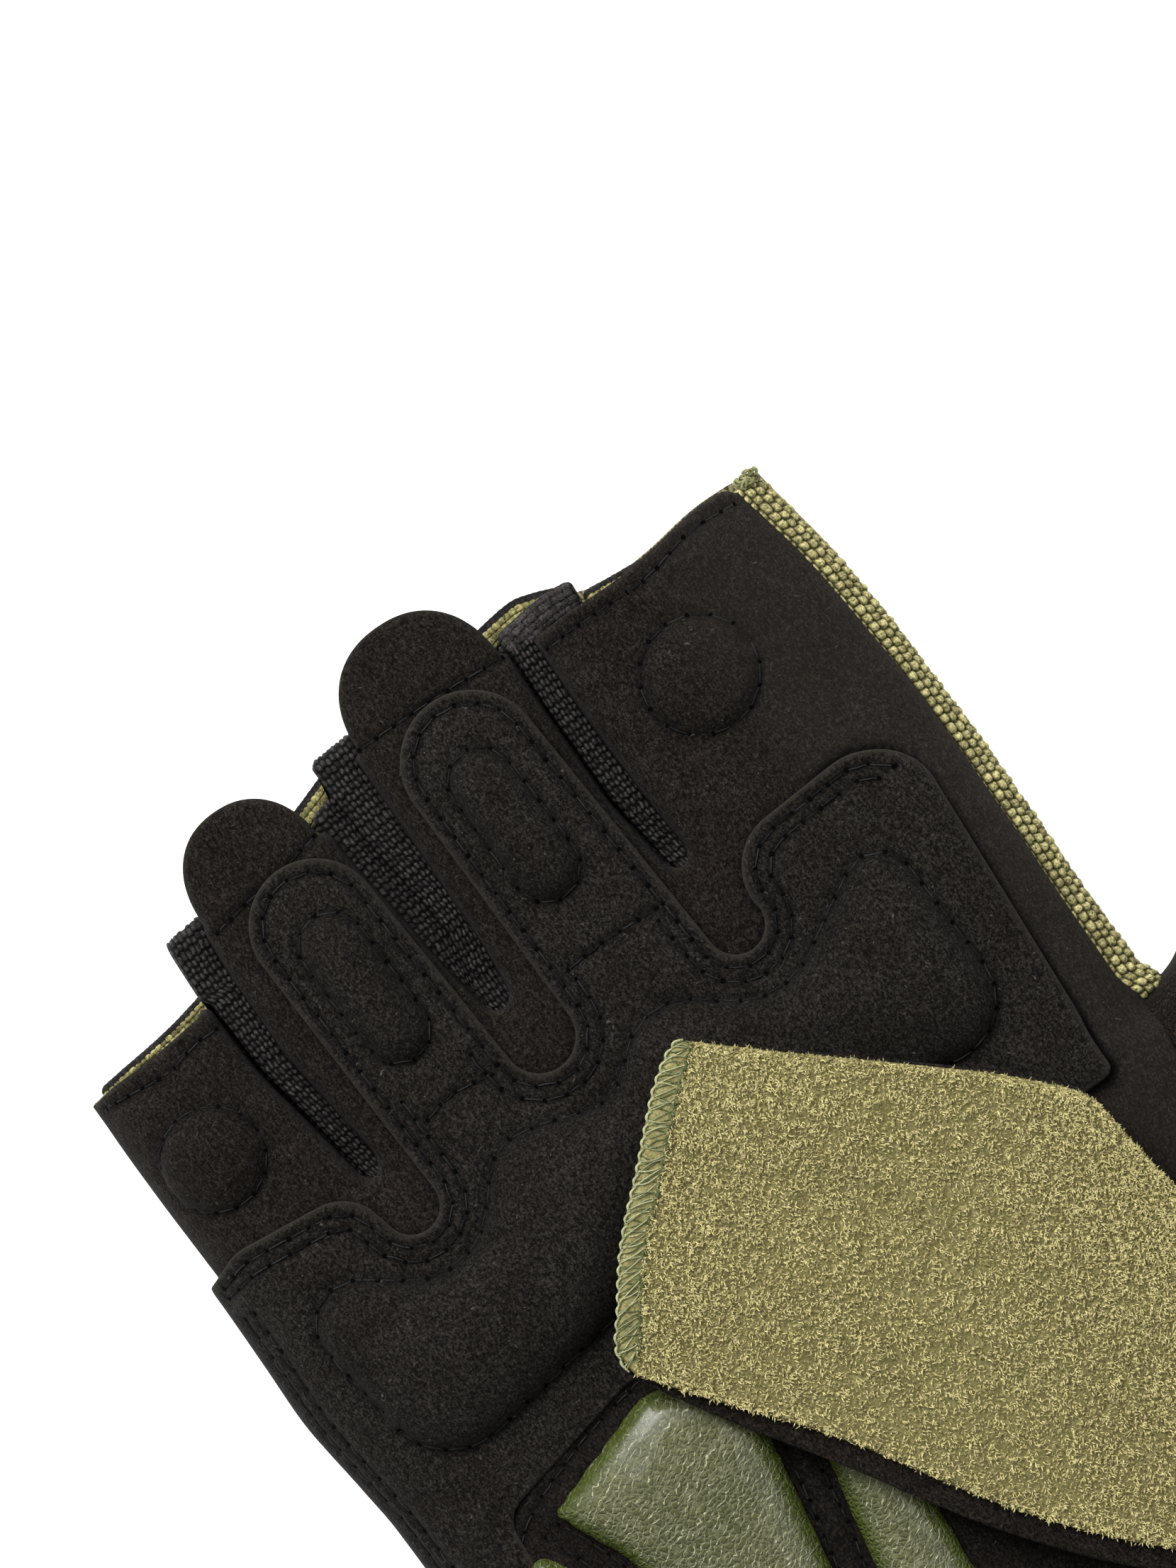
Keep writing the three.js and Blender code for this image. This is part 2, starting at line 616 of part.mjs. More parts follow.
// A fourchette: a trough of knit in its slit, split down the gap from the opening to the crotch
function fourchette(slit) {
  const floor = 0.1;
  const loop = (row, grow, slotted) => {
    const gap = row.left + FOURCHETTE_WALL + FOURCHETTE_SLOT / 2 + GAP;
    const inset = slotted ? FOURCHETTE_WALL + GAP : GAP;
    const foot = slotted ? FOURCHETTE_SLOT / 2 : FOURCHETTE_SLOT / 2 + FOURCHETTE_WALL;
    const rim = rowAt(SECTIONS, row.y).top - SLIT_DIP * smoothStep((row.y - slit.end + 6) / 10) - GAP;
    return [
      new THREE.Vector3(row.left + inset, row.y, rim + grow),
      new THREE.Vector3(gap - foot, row.y, floor - grow),
      new THREE.Vector3(Math.min(gap + foot, row.right - GAP), row.y, floor - grow),
      new THREE.Vector3(row.right - inset, row.y, rim + grow),
    ];
  };
  const last = slit.rows.at(-1);
  const taper = (last.right - last.left) / 5;
  const nose = { y: slit.end + 0.8, left: last.left + taper, right: last.right - taper };
  const head = { ...slit.rows[0], y: slit.rows[0].y + 1 };
  const trough = loft([...slit.rows, nose].map((row) => loop(row, 0, false)));
  const slot = loft([head, ...slit.rows.slice(1)].map((row) => loop(row, 2, true)));
  return fromManifold(toManifold(trough).subtract(toManifold(slot)));
}

// The rounded knit strip between the palm's index edge and the back
function indexStrip() {
  const angles = [80, 45, 10, -24];
  const rows = SECTIONS.filter(({ y }) => y <= 18 && y >= -52);
  const arc = (row, radius) => angles.map((degrees) => {
    const angle = THREE.MathUtils.degToRad(degrees);
    const x = row.index + STRIP_SEAT.x + radius * Math.cos(angle);
    return new THREE.Vector3(x, row.y, STRIP_SEAT.z + radius * Math.sin(angle));
  });
  return wallBetween(
    rows.map((row) => arc(row, STRIP_RADIUS)),
    rows.map((row) => arc(row, STRIP_RADIUS - STRIP_WALL)),
  );
}

// Half of the thumb stall, in front for the palm side and behind for the back of the hand
function thumbHalf(front) {
  const wall = front ? SUEDE : KNIT;
  const face = (inward) => THUMB_ROWS.map(({ ax, ay, bx, by, top }) => THUMB_STEPS.map((step) => {
    const rise = arch(Math.min(step, 1 - step) / THUMB_ROLL);
    const squeeze = inward / Math.hypot(bx - ax, by - ay) * (1 - 2 * step);
    const x = ax + (bx - ax) * (step + squeeze) + GAP;
    const y = ay + (by - ay) * (step + squeeze);
    const frontZ = SEAM_Z + GAP / 2 + (top - SEAM_Z - GAP / 2 - inward) * rise;
    const backZ = SEAM_Z - GAP / 2 - (SEAM_Z - GAP / 2 - inward) * rise;
    return new THREE.Vector3(x, y, front ? frontZ : backZ);
  }));
  return wallBetween(face(0), face(wall));
}

// The strap's points at a height above its underside, set in from its two long edges
function strapFace(height, insetLow, insetHigh, rows) {
  return rows.map(({ lx, ly, lz, ux, uy, uz }) => {
    const width = Math.hypot(ux - lx, uy - ly);
    return STRAP_STEPS.map((step) => {
      const share = (insetLow + (width - insetLow - insetHigh) * step) / width;
      const crown = STRAP_CROWN * Math.sin(Math.PI * share);
      const z = lz + (uz - lz) * share + crown + height;
      return new THREE.Vector3(lx + (ux - lx) * share, ly + (uy - ly) * share, z);
    });
  });
}

// The strap stands up and away from the hand where it runs down to its seam on the side
function leanOut(faces, distance) {
  const bend = [0, 0, 0, 0, 0, 0, 0.15, 0.5, 1, 1];
  return faces.map((row, i) => row.map((p) => new THREE.Vector3(p.x + distance * bend[i], p.y, p.z)));
}

function strapBody() {
  const low = strapFace(0, 0, 0, STRAP_ROWS);
  const high = strapFace(STRAP_WALL, 0, 0, STRAP_ROWS);
  return wallBetween(leanOut(high, STRAP_WALL), low);
}

function strapPlush() {
  const rows = STRAP_ROWS.slice(0, PLUSH_LAST_ROW);
  const seat = STRAP_WALL + GAP;
  const low = strapFace(seat, PLUSH_MARGIN, 0.4, rows);
  const high = strapFace(seat + PLUSH, PLUSH_MARGIN, 0.4, rows);
  return wallBetween(leanOut(high, seat + PLUSH), leanOut(low, seat));
}

// The ring that binds palm and back together round the wrist opening
function wristBinding() {
  const flat = ({ x, z }) => new THREE.Vector2(x, z);
  const loop = (out, floor) => {
    const top = palmRow(WRIST_Y, out).map(flat);
    const bottom = backRow(WRIST_Y, floor).map(flat).reverse();
    return [...bottom, ...top];
  };
  const ring = new THREE.Shape(loop(OVERLAY_HIGH, 0).reverse());
  ring.holes.push(new THREE.Path(loop(-BINDING_WALL + OVERLAY_HIGH, BINDING_WALL)));
  const geometry = new THREE.ExtrudeGeometry(ring, { depth: BINDING_LENGTH, bevelEnabled: false });
  return geometry.rotateX(Math.PI / 2).translate(0, WRIST_Y - GAP, 0);
}

const pieces = new THREE.Group();

function addPiece(name, geometry, look) {
  const piece = new THREE.Mesh(geometry, FINISHES[look]);
  piece.name = name;
  pieces.add(piece);
}

addPiece('palm_panel', palmPanel(), 'suede');
addPiece('back_panel', backPanel(), 'knitGreen');
for (const slit of SLITS) addPiece(`fourchette_${slit.name}`, fourchette(slit), 'knitBlack');
addPiece('index_strip', indexStrip(), 'knitGreen');
addPiece('palm_overlay', layerOverPalm(OVERLAY_LOW, OVERLAY_HIGH, OVERLAY_EDGE, OVERLAY_ROWS), 'suedeOverlay');
addPiece('cuff_panel', layerOverPalm(OVERLAY_LOW, CUFF_HIGH, CUFF_EDGE, CUFF_ROWS), 'knitBlack');
for (const [name, pad] of Object.entries(PADS)) addPiece(name, crownedPad(pad), pad.look);
addPiece('thumb_front', thumbHalf(true), 'suede');
addPiece('thumb_back', thumbHalf(false), 'knitGreen');
addPiece('strap_body', strapBody(), 'suede');
addPiece('strap_plush', strapPlush(), 'plush');
addPiece('wrist_binding', wristBinding(), 'knitBlack');

pieces.position.set(-CENTRE.x, -CENTRE.y, 0);
const glove = new THREE.Group();
glove.add(pieces);

export default glove;
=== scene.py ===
"""Looks of the sport glove, built round its CAD part.

Lengths in the tables are millimetres in the glove's pattern: x runs from the little finger to the index
finger, y from the wrist to the fingertips. A flat place is a pattern place with the rolled sides laid out
flat.
"""
import math

import bmesh
import bpy
import numpy as np
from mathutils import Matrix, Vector
from mathutils.kdtree import KDTree


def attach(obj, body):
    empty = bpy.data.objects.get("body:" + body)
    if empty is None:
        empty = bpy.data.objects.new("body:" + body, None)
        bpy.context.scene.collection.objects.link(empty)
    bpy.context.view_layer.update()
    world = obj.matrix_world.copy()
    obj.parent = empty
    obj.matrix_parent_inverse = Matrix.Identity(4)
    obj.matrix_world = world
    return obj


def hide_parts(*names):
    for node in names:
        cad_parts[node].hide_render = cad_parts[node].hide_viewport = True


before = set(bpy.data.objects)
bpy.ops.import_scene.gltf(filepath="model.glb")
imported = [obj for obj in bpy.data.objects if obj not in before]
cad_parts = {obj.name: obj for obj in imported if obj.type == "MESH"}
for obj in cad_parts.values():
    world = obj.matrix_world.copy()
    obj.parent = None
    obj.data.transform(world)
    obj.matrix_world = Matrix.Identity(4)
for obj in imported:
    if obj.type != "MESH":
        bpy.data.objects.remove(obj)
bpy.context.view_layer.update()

SHIFT = (3.3, 54.75, 0.0)     # from the pattern's measure to the model's frame
MM = 0.001
SEAM = 3.65                   # height of the seam on the little side
PALM_ROLL = 9.0               # how far in from its edge the palm curves down
BACK_ROLL = 6.0               # and the back of the hand curves up
SLIT_ROLL = 5.5               # how far beside a slit the palm bends down, and by how much
SLIT_DIP = 2.4
WRIST = -134.0                # y of the wrist opening
SUEDE = 1.2                   # thickness of the palm's cloth
KNIT = 1.4                    # and of the back's
BACK_SEAM = SEAM - 0.3        # height of the back's edge at that seam
OVERLAY_HIGH = 1.55           # outer face of the overlay above the palm
CUFF_HIGH = 1.35

# Sections across the hand: y, little edge, index edge, index edge of the back, then the heights of the top,
# the palm's index rim and the back's index rim
SECTIONS = np.array([
    (30, -67.4, 31.4, 34.8, 10.2, 6.4, 1.6), (18, -67.4, 33, 36.3, 10.8, 6.8, 1.6),
    (4, -67.4, 35.3, 38.5, 11.6, 7.2, 1.6), (-10, -67.1, 36.3, 39.3, 12.4, 7.4, 1.6),
    (-24, -66.7, 36.7, 39.5, 13, 7.4, 1.6), (-40, -66.8, 36.6, 39.4, 13, 7.4, 1.6),
    (-52, -65.6, 36.7, 39.2, 13, 7.4, 1.6), (-56, -65.1, 38.2, 38.4, 13, 4.2, 3),
    (-60, -64.9, 37.7, 37.8, 13, 10.6, 0.8), (-64, -64.7, 37.1, 37.1, 13, 12.2, 0.3),
    (-78, -62.9, 35.3, 35.3, 12.9, 12.2, 0.3), (-83, -61.9, 34.7, 34.7, 12.8, 10.4, 0.8),
    (-87, -61.2, 34.2, 34.2, 12.7, 3.9, 3.2), (-104, -59, 32, 32, 12.2, 3.7, 3.3),
    (-134, -58, 31, 31, 11, 3.7, 3.3),
])

# Slits between the fingers: y, left side, right side
SLITS = {
    "ring_little": (-22.6, [(13.5, -49.4, -45.2), (4, -49.7, -45.8), (-4, -49.4, -45.8), (-12, -48.1, -45),
                            (-20.5, -46.6, -43.9)]),
    "middle_ring": (-15.4, [(19, -27.6, -20.1), (8, -26.9, -20.1), (0, -25.9, -20.2), (-8, -25, -20.3),
                            (-13.5, -24, -20.8)]),
    "index_middle": (-13.8, [(20.5, 1.1, 4.3), (8, 0.8, 4.1), (-2, 0.8, 4.3), (-8, 1.5, 4.6),
                             (-12.2, 2.1, 4.9)]),
}

# Ends of the palm at the finger openings, from the index side to the little side
FINGER_ENDS = {
    "index": [(33.1, 18.1), (30.9, 18.6), (26.9, 18.5), (20.6, 17.6), (15.8, 17.1), (9.2, 17.2), (4.3, 17)],
    "middle": [(0.9, 17.6), (-9.6, 17.9), (-20.1, 17.6)],
    "ring": [(-27.6, 12.8), (-36.4, 12.1), (-45.3, 11)],
    "little": [(-49.7, 3.8), (-58, 2.9), (-64, 2.7), (-67.4, 2.2)],
}
# Ends of the back of the hand, a little further out
BACK_ENDS = {
    "index": [(34, 18.6), (30.9, 18.9), (26.9, 18.8), (20.6, 17.9), (16, 17.7), (13, 18.2), (9, 19.6),
              (4.3, 20.2)],
    "middle": [(0.9, 20.3), (-9.6, 19.8), (-20.1, 19.3)],
    "ring": [(-27.6, 17.1), (-36.4, 14.4), (-45.3, 12.7)],
    "little": [(-49.7, 4.9), (-58, 3.2), (-64, 2.8), (-67.3, 2.3)],
}
# Hem of the back that shows between the tabs and the heads of the fourchettes
BACK_HEMS = {
    "index": [(12.2, 17.9), (14.5, 17.65), (16.5, 17.45), (19.5, 17.2), (21.5, 17.0)],
    "middle": [(-4, 20.4), (0, 21.1), (3, 21.5), (5.3, 21.5), (8.6, 20.4), (10.6, 19.4)],
    "ring": [(-38, 13.3), (-33, 14.8), (-29.8, 15.9), (-26.5, 17.0), (-23.4, 18.1)],
    "little": [(-46.8, 5.6), (-49.7, 5.2), (-54, 4.3), (-58, 3.7), (-62, 3.3), (-65.4, 2.9)],
}
# Pull tabs: x and y of the foot, half width, length
TABS = {"middle": (-9.5, 17.8, 9.7, 10.5), "ring": (-36.6, 11.9, 8.3, 9.8)}

# Outlines laid as a belt round circles: x, y, radius, which is negative where the outline is hollow
BAND_EDGE = [(24, -61.4, 1.2), (-8, -60, 3), (-35.5, -61, 3.6), (-52, -64.8, 3.6), (-57.3, -69.3, 2)]
CUFF_EDGE = [(-57.9, -130, 1), (22, -130, 1)] + BAND_EDGE
OVERLAY_EDGE = [(-75, -131, .3), (-59.7, -131, .3)] + [
    (x, y, -(r - 0.35)) for x, y, r in BAND_EDGE[-2:0:-1]] + [
    (24, -61.4, -0.9), (28.8, -59.6, .9), (24.2, -21.5, 7.4), (14.6, -21.5, 6.8), (4.5, -22.6, -3.5),
    (-9.3, 9.6, 8), (-20.9, -20.2, -4.3), (-34.4, 4.6, 7.4), (-43.7, -27.6, -3.4), (-53, -27.4, 5.6),
    (-62, -24, 3.2), (-75, -26.5, .3)]
HEART_EDGE = [(-51.5, -46.5, 7.5), (-4, -66, -19), (18, -42.5, 7), (20.3, -28.3, 4), (4.8, -22.2, -9),
              (-8.6, -32.3, 7.2), (-19.4, -24.5, -5.8), (-29.8, -34, 6.3), (-43.6, -27.2, -8.7),
              (-56, -34.7, 4.6)]
MIDDLE_OVAL = [(-9.3, -5, 4), (-9.7, 7.2, 3.9)]
RING_OVAL = [(-33.6, -10.5, 3.8), (-34.2, 1.6, 3.9)]
INDEX_DISC = [(17.5, 2.9, 6.9)]
LITTLE_DISC = [(-59.1, -10.5, 6.1)]
# How high the sewn pads stand
HEART_RISE, OVAL_RISE, INDEX_DISC_RISE, LITTLE_DISC_RISE = 4.5, 2.4, 2.1, 2.0
# How far each net's squares measure
PALM_NET, OVERLAY_NET, HEEL_NET, BACK_NET, LEATHER_NET = 0.64, 0.5, 0.7, 1.3, 0.45
# The leather pads: how high each rises, and its outline
LEATHER = {
    "inner": (3.1, [(-25.3, -111.5, 3), (-19.2, -111.5, 3), (-13.9, -63, 1.8), (-16.4, -63, 1.8)]),
    "middle": (3.4, [(-39.9, -112, 3), (-35.4, -112, 3), (-26, -64.1, 2), (-34.9, -61.0, 0.9),
                     (-49.5, -65.7, 0.6), (-60.6, -79, -15)]),
    "outer": (2.9, [(-53.2, -111.5, 2.6), (-50.5, -111.5, 2.6), (-53.6, -73.5, 2), (-54.9, -69.9, 1.4),
                    (-55.8, -70.6, 1.3)]),
}

# Stitch lines in the pattern
HEM_ROWS = [
    [(-19.1, 18), (-9.5, 17.9), (0.3, 17.3)],
    [(-44.1, 10.2), (-41.6, 10.7), (-38.4, 11.3), (-34.8, 11.6), (-30.7, 12.6), (-28.8, 13)],
    [(-66.3, 1.2), (-61.2, .7), (-56.9, .5), (-53.4, 1.4), (-50.4, 1.4)],
    [(32.2, 16.5), (25.7, 16.8), (19.1, 15.3), (13.5, 15.3), (7.9, 15.3), (5, 15.2)],
]
CROSS_ROWS = [
    [(-13.9, -15.9), (-9, -15.6), (-1.7, -15.9)],
    [(-36.6, -20.7), (-34.1, -20), (-31.2, -20), (-27.7, -20.7)],
]
BAND_ROWS = [
    [(20, -60.6), (-8, -58.4), (-30, -57), (-36.2, -57.2), (-42.4, -58.1), (-47.1, -59.9), (-52.1, -61.6),
     (-55.4, -63.7), (-58.9, -66.5)],
    [(20, -62.2), (-8, -60), (-30, -58.6), (-35.4, -58.8), (-41.6, -60), (-46.4, -61.5), (-50.5, -62.9),
     (-54.7, -65.4), (-57.6, -68)],
]
CHANNEL_ROWS = [
    [(-21.2, -64), (-24.8, -74.4), (-25.5, -78.7), (-26.6, -83.9), (-28.6, -92), (-33, -110)],
    [(-19.1, -64), (-22.6, -77.7), (-23.4, -83.2), (-25, -90.3), (-31, -110)],
    [(-50.6, -66.5), (-47.8, -73), (-46.8, -80), (-46, -92), (-45.5, -110)],
    [(-52.6, -67), (-50.4, -73), (-49.4, -80), (-48.6, -92), (-48, -110)],
]

# The strap: lower edge x, y, z and upper edge x, y, z
STRAP_ROWS = np.array([
    (-35.1, -55.8, 18.4, -7.6, -29.4, 18.4), (-29.2, -65.8, 18.3, 1.2, -37.2, 18.4),
    (-20.1, -79.6, 18.2, 11.5, -46, 18.4), (-10, -95.4, 17.9, 21.6, -55.2, 18.3),
    (-0.4, -107, 17.2, 26.3, -61.4, 17.8), (9, -115.4, 16.2, 27.8, -72, 17.2),
    (20, -122, 14.6, 29.6, -82, 16), (27, -125.6, 12.1, 31.6, -89.4, 13.6),
    (30.2, -127.2, 8.4, 33.5, -92.4, 9.4), (31.7, -128, 3.9, 34.2, -94, 3.9),
])
STRAP_BEND = [0, 0, 0, 0, 0, 0, 0.15, 0.5, 1, 1]    # how far each row leans outward
STRAP_WALL = 1.3
STRAP_CROWN = 0.5
PLUSH_SEAT = 1.6
PLUSH_LOW = 2.9               # bare strap beside the plush on its wrist side
PLUSH_HIGH = 0.3

# The thumb stall: x, y at the fingers' side, x, y at the wrist side, top
THUMB_ROWS = np.array([
    (36.4, -56.2, 32.4, -88, 11.4), (42.2, -54.8, 43, -82, 12.2),
    (47.8, -50.8, 52.2, -75.6, 11.7), (53.2, -45.6, 61.4, -69.4, 11.2),
])
THUMB_ROLL = 0.26


# Curves and outlines


def smooth_curve(knots, values):
    """A smooth curve through a table's rows that never overshoots them."""
    knots = np.asarray(knots, float)
    values = np.asarray(values, float)
    step = np.diff(knots)
    slope = np.diff(values) / step
    tangent = np.zeros_like(values)
    tangent[0], tangent[-1] = slope[0], slope[-1]
    left, right = slope[:-1], slope[1:]
    total = np.where(left * right > 0, left + right, 1)
    tangent[1:-1] = np.where(left * right > 0, 2 * left * right / total, 0)

    def at(q):
        q = np.clip(np.asarray(q, float), knots[0], knots[-1])
        k = np.clip(np.searchsorted(knots, q) - 1, 0, len(step) - 1)
        t = (q - knots[k]) / step[k]
        ends = values[k] * (1 + 2 * t) * (1 - t) ** 2 + values[k + 1] * t * t * (3 - 2 * t)
        return ends + step[k] * (tangent[k] * t * (1 - t) ** 2 - tangent[k + 1] * t * t * (1 - t))
    return at


def smooth_step(t):
    t = np.clip(t, 0, 1)
    return t * t * (3 - 2 * t)


def arch(t):
    """A quarter ellipse, 0 at its foot and 1 where it runs out level."""
    return np.sqrt(np.maximum(0, 1 - (1 - np.clip(t, 0, 1)) ** 2))


section_columns = [smooth_curve(-SECTIONS[:, 0], SECTIONS[:, k]) for k in range(1, 7)]


def section(y):
    """The values of the table of sections at heights y: little edge, index edge and the rest."""
    return [column(-np.asarray(y, float)) for column in section_columns]


def slit_sides(name):
    """The little and the index side of a slit, as curves of -y."""
    rows = np.array(SLITS[name][1])
    return smooth_curve(-rows[:, 0], rows[:, 1]), smooth_curve(-rows[:, 0], rows[:, 2])


def slit_dip(x, y):
    """How far the palm is drawn down by the slits beside it."""
    dip = np.zeros_like(x)
    for name, (end, _) in SLITS.items():
        left, right = slit_sides(name)
        away = np.maximum(np.maximum(left(-y) - x, x - right(-y)), 0)
        fade = smooth_step((y - end + 6) / 10)
        dip = np.maximum(dip, SLIT_DIP * fade * (1 - arch(away / SLIT_ROLL)))
    return dip


def roll_lengths(y):
    """Where the palm's rolled sides start at the left and right, and the radius that each is laid out by."""
    little, index, _, top, rim, _ = section(y)
    rho_left = (PALM_ROLL + top - SEAM) / 2
    rho_right = (PALM_ROLL + top - rim) / 2
    return little + PALM_ROLL, index - PALM_ROLL, rho_left, rho_right


def flatten(points):
    """Pattern places to flat places."""
    points = np.asarray(points, float)
    x, y = points[:, 0], points[:, 1]
    left, right, rho_left, rho_right = roll_lengths(y)
    over_left, over_right = left - x, x - right
    turned = np.arcsin(np.clip(over_left / PALM_ROLL, 0, 1))
    u = np.where(over_left > 0, left - rho_left * turned - np.maximum(over_left - PALM_ROLL, 0), x)
    turned = np.arcsin(np.clip(over_right / PALM_ROLL, 0, 1))
    u = np.where(over_right > 0, right + rho_right * turned + np.maximum(over_right - PALM_ROLL, 0), u)
    return np.stack([u, y], axis=1)


def palm_face(flat, out):
    """Flat places to places in the pattern, a distance out from the palm's face."""
    u, y = flat[:, 0], flat[:, 1]
    _, _, _, top, rim, _ = section(y)
    left, right, rho_left, rho_right = roll_lengths(y)
    quarter = math.pi / 2
    down_left = np.clip((left - u) / rho_left, 0, quarter)
    down_right = np.clip((u - right) / rho_right, 0, quarter)
    x = (np.clip(u, left, right) - (PALM_ROLL + out) * np.sin(down_left)
         + (PALM_ROLL + out) * np.sin(down_right))
    z = np.where(
        down_left > 0, SEAM + (top - SEAM + out) * np.cos(down_left),
        np.where(down_right > 0, rim + (top - rim + out) * np.cos(down_right), top + out))
    return np.stack([x, y, z - slit_dip(x, y)], axis=1)


def back_face(flat, inward):
    """The same for the back of the hand, where u is the plain x across."""
    u, y = flat[:, 0], flat[:, 1]
    little, _, index, _, _, rim = section(y)
    left, right = little + BACK_ROLL, index - BACK_ROLL
    quarter = math.pi / 2
    down_left = np.clip((left - u) / ((BACK_ROLL + BACK_SEAM) / 2), 0, quarter)
    down_right = np.clip((u - right) / ((BACK_ROLL + rim) / 2), 0, quarter)
    x = (np.clip(u, left, right) - (BACK_ROLL - inward) * np.sin(down_left)
         + (BACK_ROLL - inward) * np.sin(down_right))
    z = np.where(
        down_left > 0, BACK_SEAM - (BACK_SEAM - inward) * np.cos(down_left),
        np.where(down_right > 0, rim - (rim - inward) * np.cos(down_right), inward))
    return np.stack([x, y, z], axis=1)


def spaced(points, gap, closed=False):
    """The same line with its points a chosen distance apart."""
    points = np.asarray(points, float)
    if closed:
        points = np.vstack([points, points[:1]])
    along = np.concatenate([[0], np.cumsum(np.hypot(*np.diff(points, axis=0).T))])
    count = max(2, int(round(along[-1] / gap)) + 1)
    q = np.linspace(0, along[-1], count)
    line = np.stack([np.interp(q, along, points[:, k]) for k in range(2)], axis=1)
    return line[:-1] if closed else line


def rounded(points, gap=0.5):
    """A smooth line through a few points."""
    points = np.asarray(points, float)
    if len(points) < 3:
        return spaced(points, gap)
    padded = np.vstack([2 * points[0] - points[1], points, 2 * points[-1] - points[-2]])
    result = []
    for k in range(len(points) - 1):
        a, b, c, d = padded[k:k + 4]
        for t in np.linspace(0, 1, 8, endpoint=False):
            result.append(0.5 * (2 * b + (c - a) * t + (2 * a - 5 * b + 4 * c - d) * t * t
                                 + (3 * b - a - 3 * c + d) * t ** 3))
    result.append(points[-1])
    return spaced(np.array(result), gap)


def belt(circles, inset=0.0, gap=0.5):
    """The outline of a belt laid round circles, anticlockwise, set in by a distance."""
    rounds = [(x, y, max(r - inset, 0.05) if r > 0 else r - inset) for x, y, r in circles]
    count = len(rounds)
    if count == 1:
        x, y, r = rounds[0]
        turns = np.linspace(0, 2 * math.pi, 61)[:-1]
        return spaced(np.stack([x + r * np.cos(turns), y + r * np.sin(turns)], axis=1), gap, True)
    headings = []
    for i, (x, y, r) in enumerate(rounds):
        nx, ny, nr = rounds[(i + 1) % count]
        apart = math.hypot(nx - x, ny - y)
        headings.append(math.atan2(ny - y, nx - x) + math.asin(max(-1, min(1, (r - nr) / apart))))
    points = []
    for i, (x, y, r) in enumerate(rounds):
        sign = 1 if r > 0 else -1
        turn = headings[i] - headings[i - 1]
        while turn * sign < -1e-6:
            turn += sign * 2 * math.pi
        while abs(turn) >= 2 * math.pi:
            turn -= math.copysign(2 * math.pi, turn)
        steps = max(1, math.ceil(abs(math.degrees(turn)) / 6))
        for k in range(steps + 1):
            a = headings[i - 1] + turn * k / steps
            points.append((x + r * math.sin(a), y - r * math.cos(a)))
    return spaced(points, gap, True)


def from_outline(places, outline):
    """Distance inside a closed outline, below 0 outside it, the nearest point on it and the way outward."""
    start = outline
    edge = np.roll(outline, -1, axis=0) - start
    length2 = np.maximum((edge ** 2).sum(1), 1e-12)
    outward = np.stack([edge[:, 1], -edge[:, 0]], axis=1) / np.sqrt(length2)[:, None]
    distance, nearest, away = [], [], []
    for part in np.array_split(places, max(1, len(places) // 3000)):
        gap = part[:, None, :] - start[None]
        t = np.clip((gap * edge[None]).sum(2) / length2, 0, 1)
        rest = gap - t[..., None] * edge[None]
        square = (rest ** 2).sum(2)
        k = square.argmin(1)
        rows = np.arange(len(part))
        crossing = (start[None, :, 1] > part[:, None, 1]) != ((start + edge)[None, :, 1] > part[:, None, 1])
        level = np.where(np.abs(edge[:, 1]) < 1e-9, 1e-9, edge[:, 1])
        reach = start[None, :, 0] + gap[..., 1] * (edge[:, 0] / level)[None]
        inside = (crossing & (part[:, None, 0] < reach)).sum(1) % 2 == 1
        distance.append(np.sqrt(square[rows, k]) * np.where(inside, 1, -1))
        nearest.append(part - rest[rows, k])
        away.append(outward[k])
    return np.concatenate(distance), np.concatenate(nearest), np.concatenate(away)


def nearest_distance(places, marks):
    """Distance from each place to the nearest of many marks."""
    tree = KDTree(len(marks))
    for k, (x, y) in enumerate(marks):
        tree.insert((x, y, 0), k)
    tree.balance()
    return np.array([tree.find((x, y, 0))[2] for x, y in places])


class Field:
    """Values on a regular grid of flat places, read anywhere between them."""

    def __init__(self, low, high, step):
        self.low, self.step = np.asarray(low, float), step
        self.shape = tuple(int(math.ceil((h - l) / step)) + 1 for l, h in zip(low, high))
        i, j = np.meshgrid(*[np.arange(n) for n in self.shape], indexing="ij")
        self.places = np.stack([low[0] + i.ravel() * step, low[1] + j.ravel() * step], axis=1)
        self.values = np.zeros(self.shape)

    def __call__(self, places):
        q = (places - self.low) / self.step
        i = np.clip(np.floor(q[:, 0]).astype(int), 0, self.shape[0] - 2)
        j = np.clip(np.floor(q[:, 1]).astype(int), 0, self.shape[1] - 2)
        s, t = np.clip(q[:, 0] - i, 0, 1), np.clip(q[:, 1] - j, 0, 1)
        v = self.values
        return ((1 - s) * (1 - t) * v[i, j] + s * (1 - t) * v[i + 1, j]
                + (1 - s) * t * v[i, j + 1] + s * t * v[i + 1, j + 1])


def ripple(seed, size, low=(-95, -145), high=(65, 45)):
    """Smooth uneven heights between -1 and 1, about a size across."""
    field = Field(low, high, size)
    field.values = np.random.default_rng(seed).uniform(-1, 1, field.shape)

    def at(places):
        q = (places - field.low) / size
        whole = np.floor(q)
        eased = whole + smooth_step(q - whole)
        return field(field.low + eased * size)
    return at


def pillow(outline, power, step=0.6, rounds=500):
    """How far a pad swells inside its stitches, from 0 at them to 1 at its highest place."""
    field = Field(outline.min(0) - step, outline.max(0) + step, step)
    inside = (from_outline(field.places, outline)[0] > 0).reshape(field.shape)
    height = np.zeros(field.shape)
    for _ in range(rounds):
        around = np.zeros_like(height)
        around[1:-1, 1:-1] = (height[2:, 1:-1] + height[:-2, 1:-1] + height[1:-1, 2:] + height[1:-1, :-2]) / 4
        height = np.where(inside, around + 1, 0)
    field.values = (height / height.max()) ** power
    return field


# Meshes


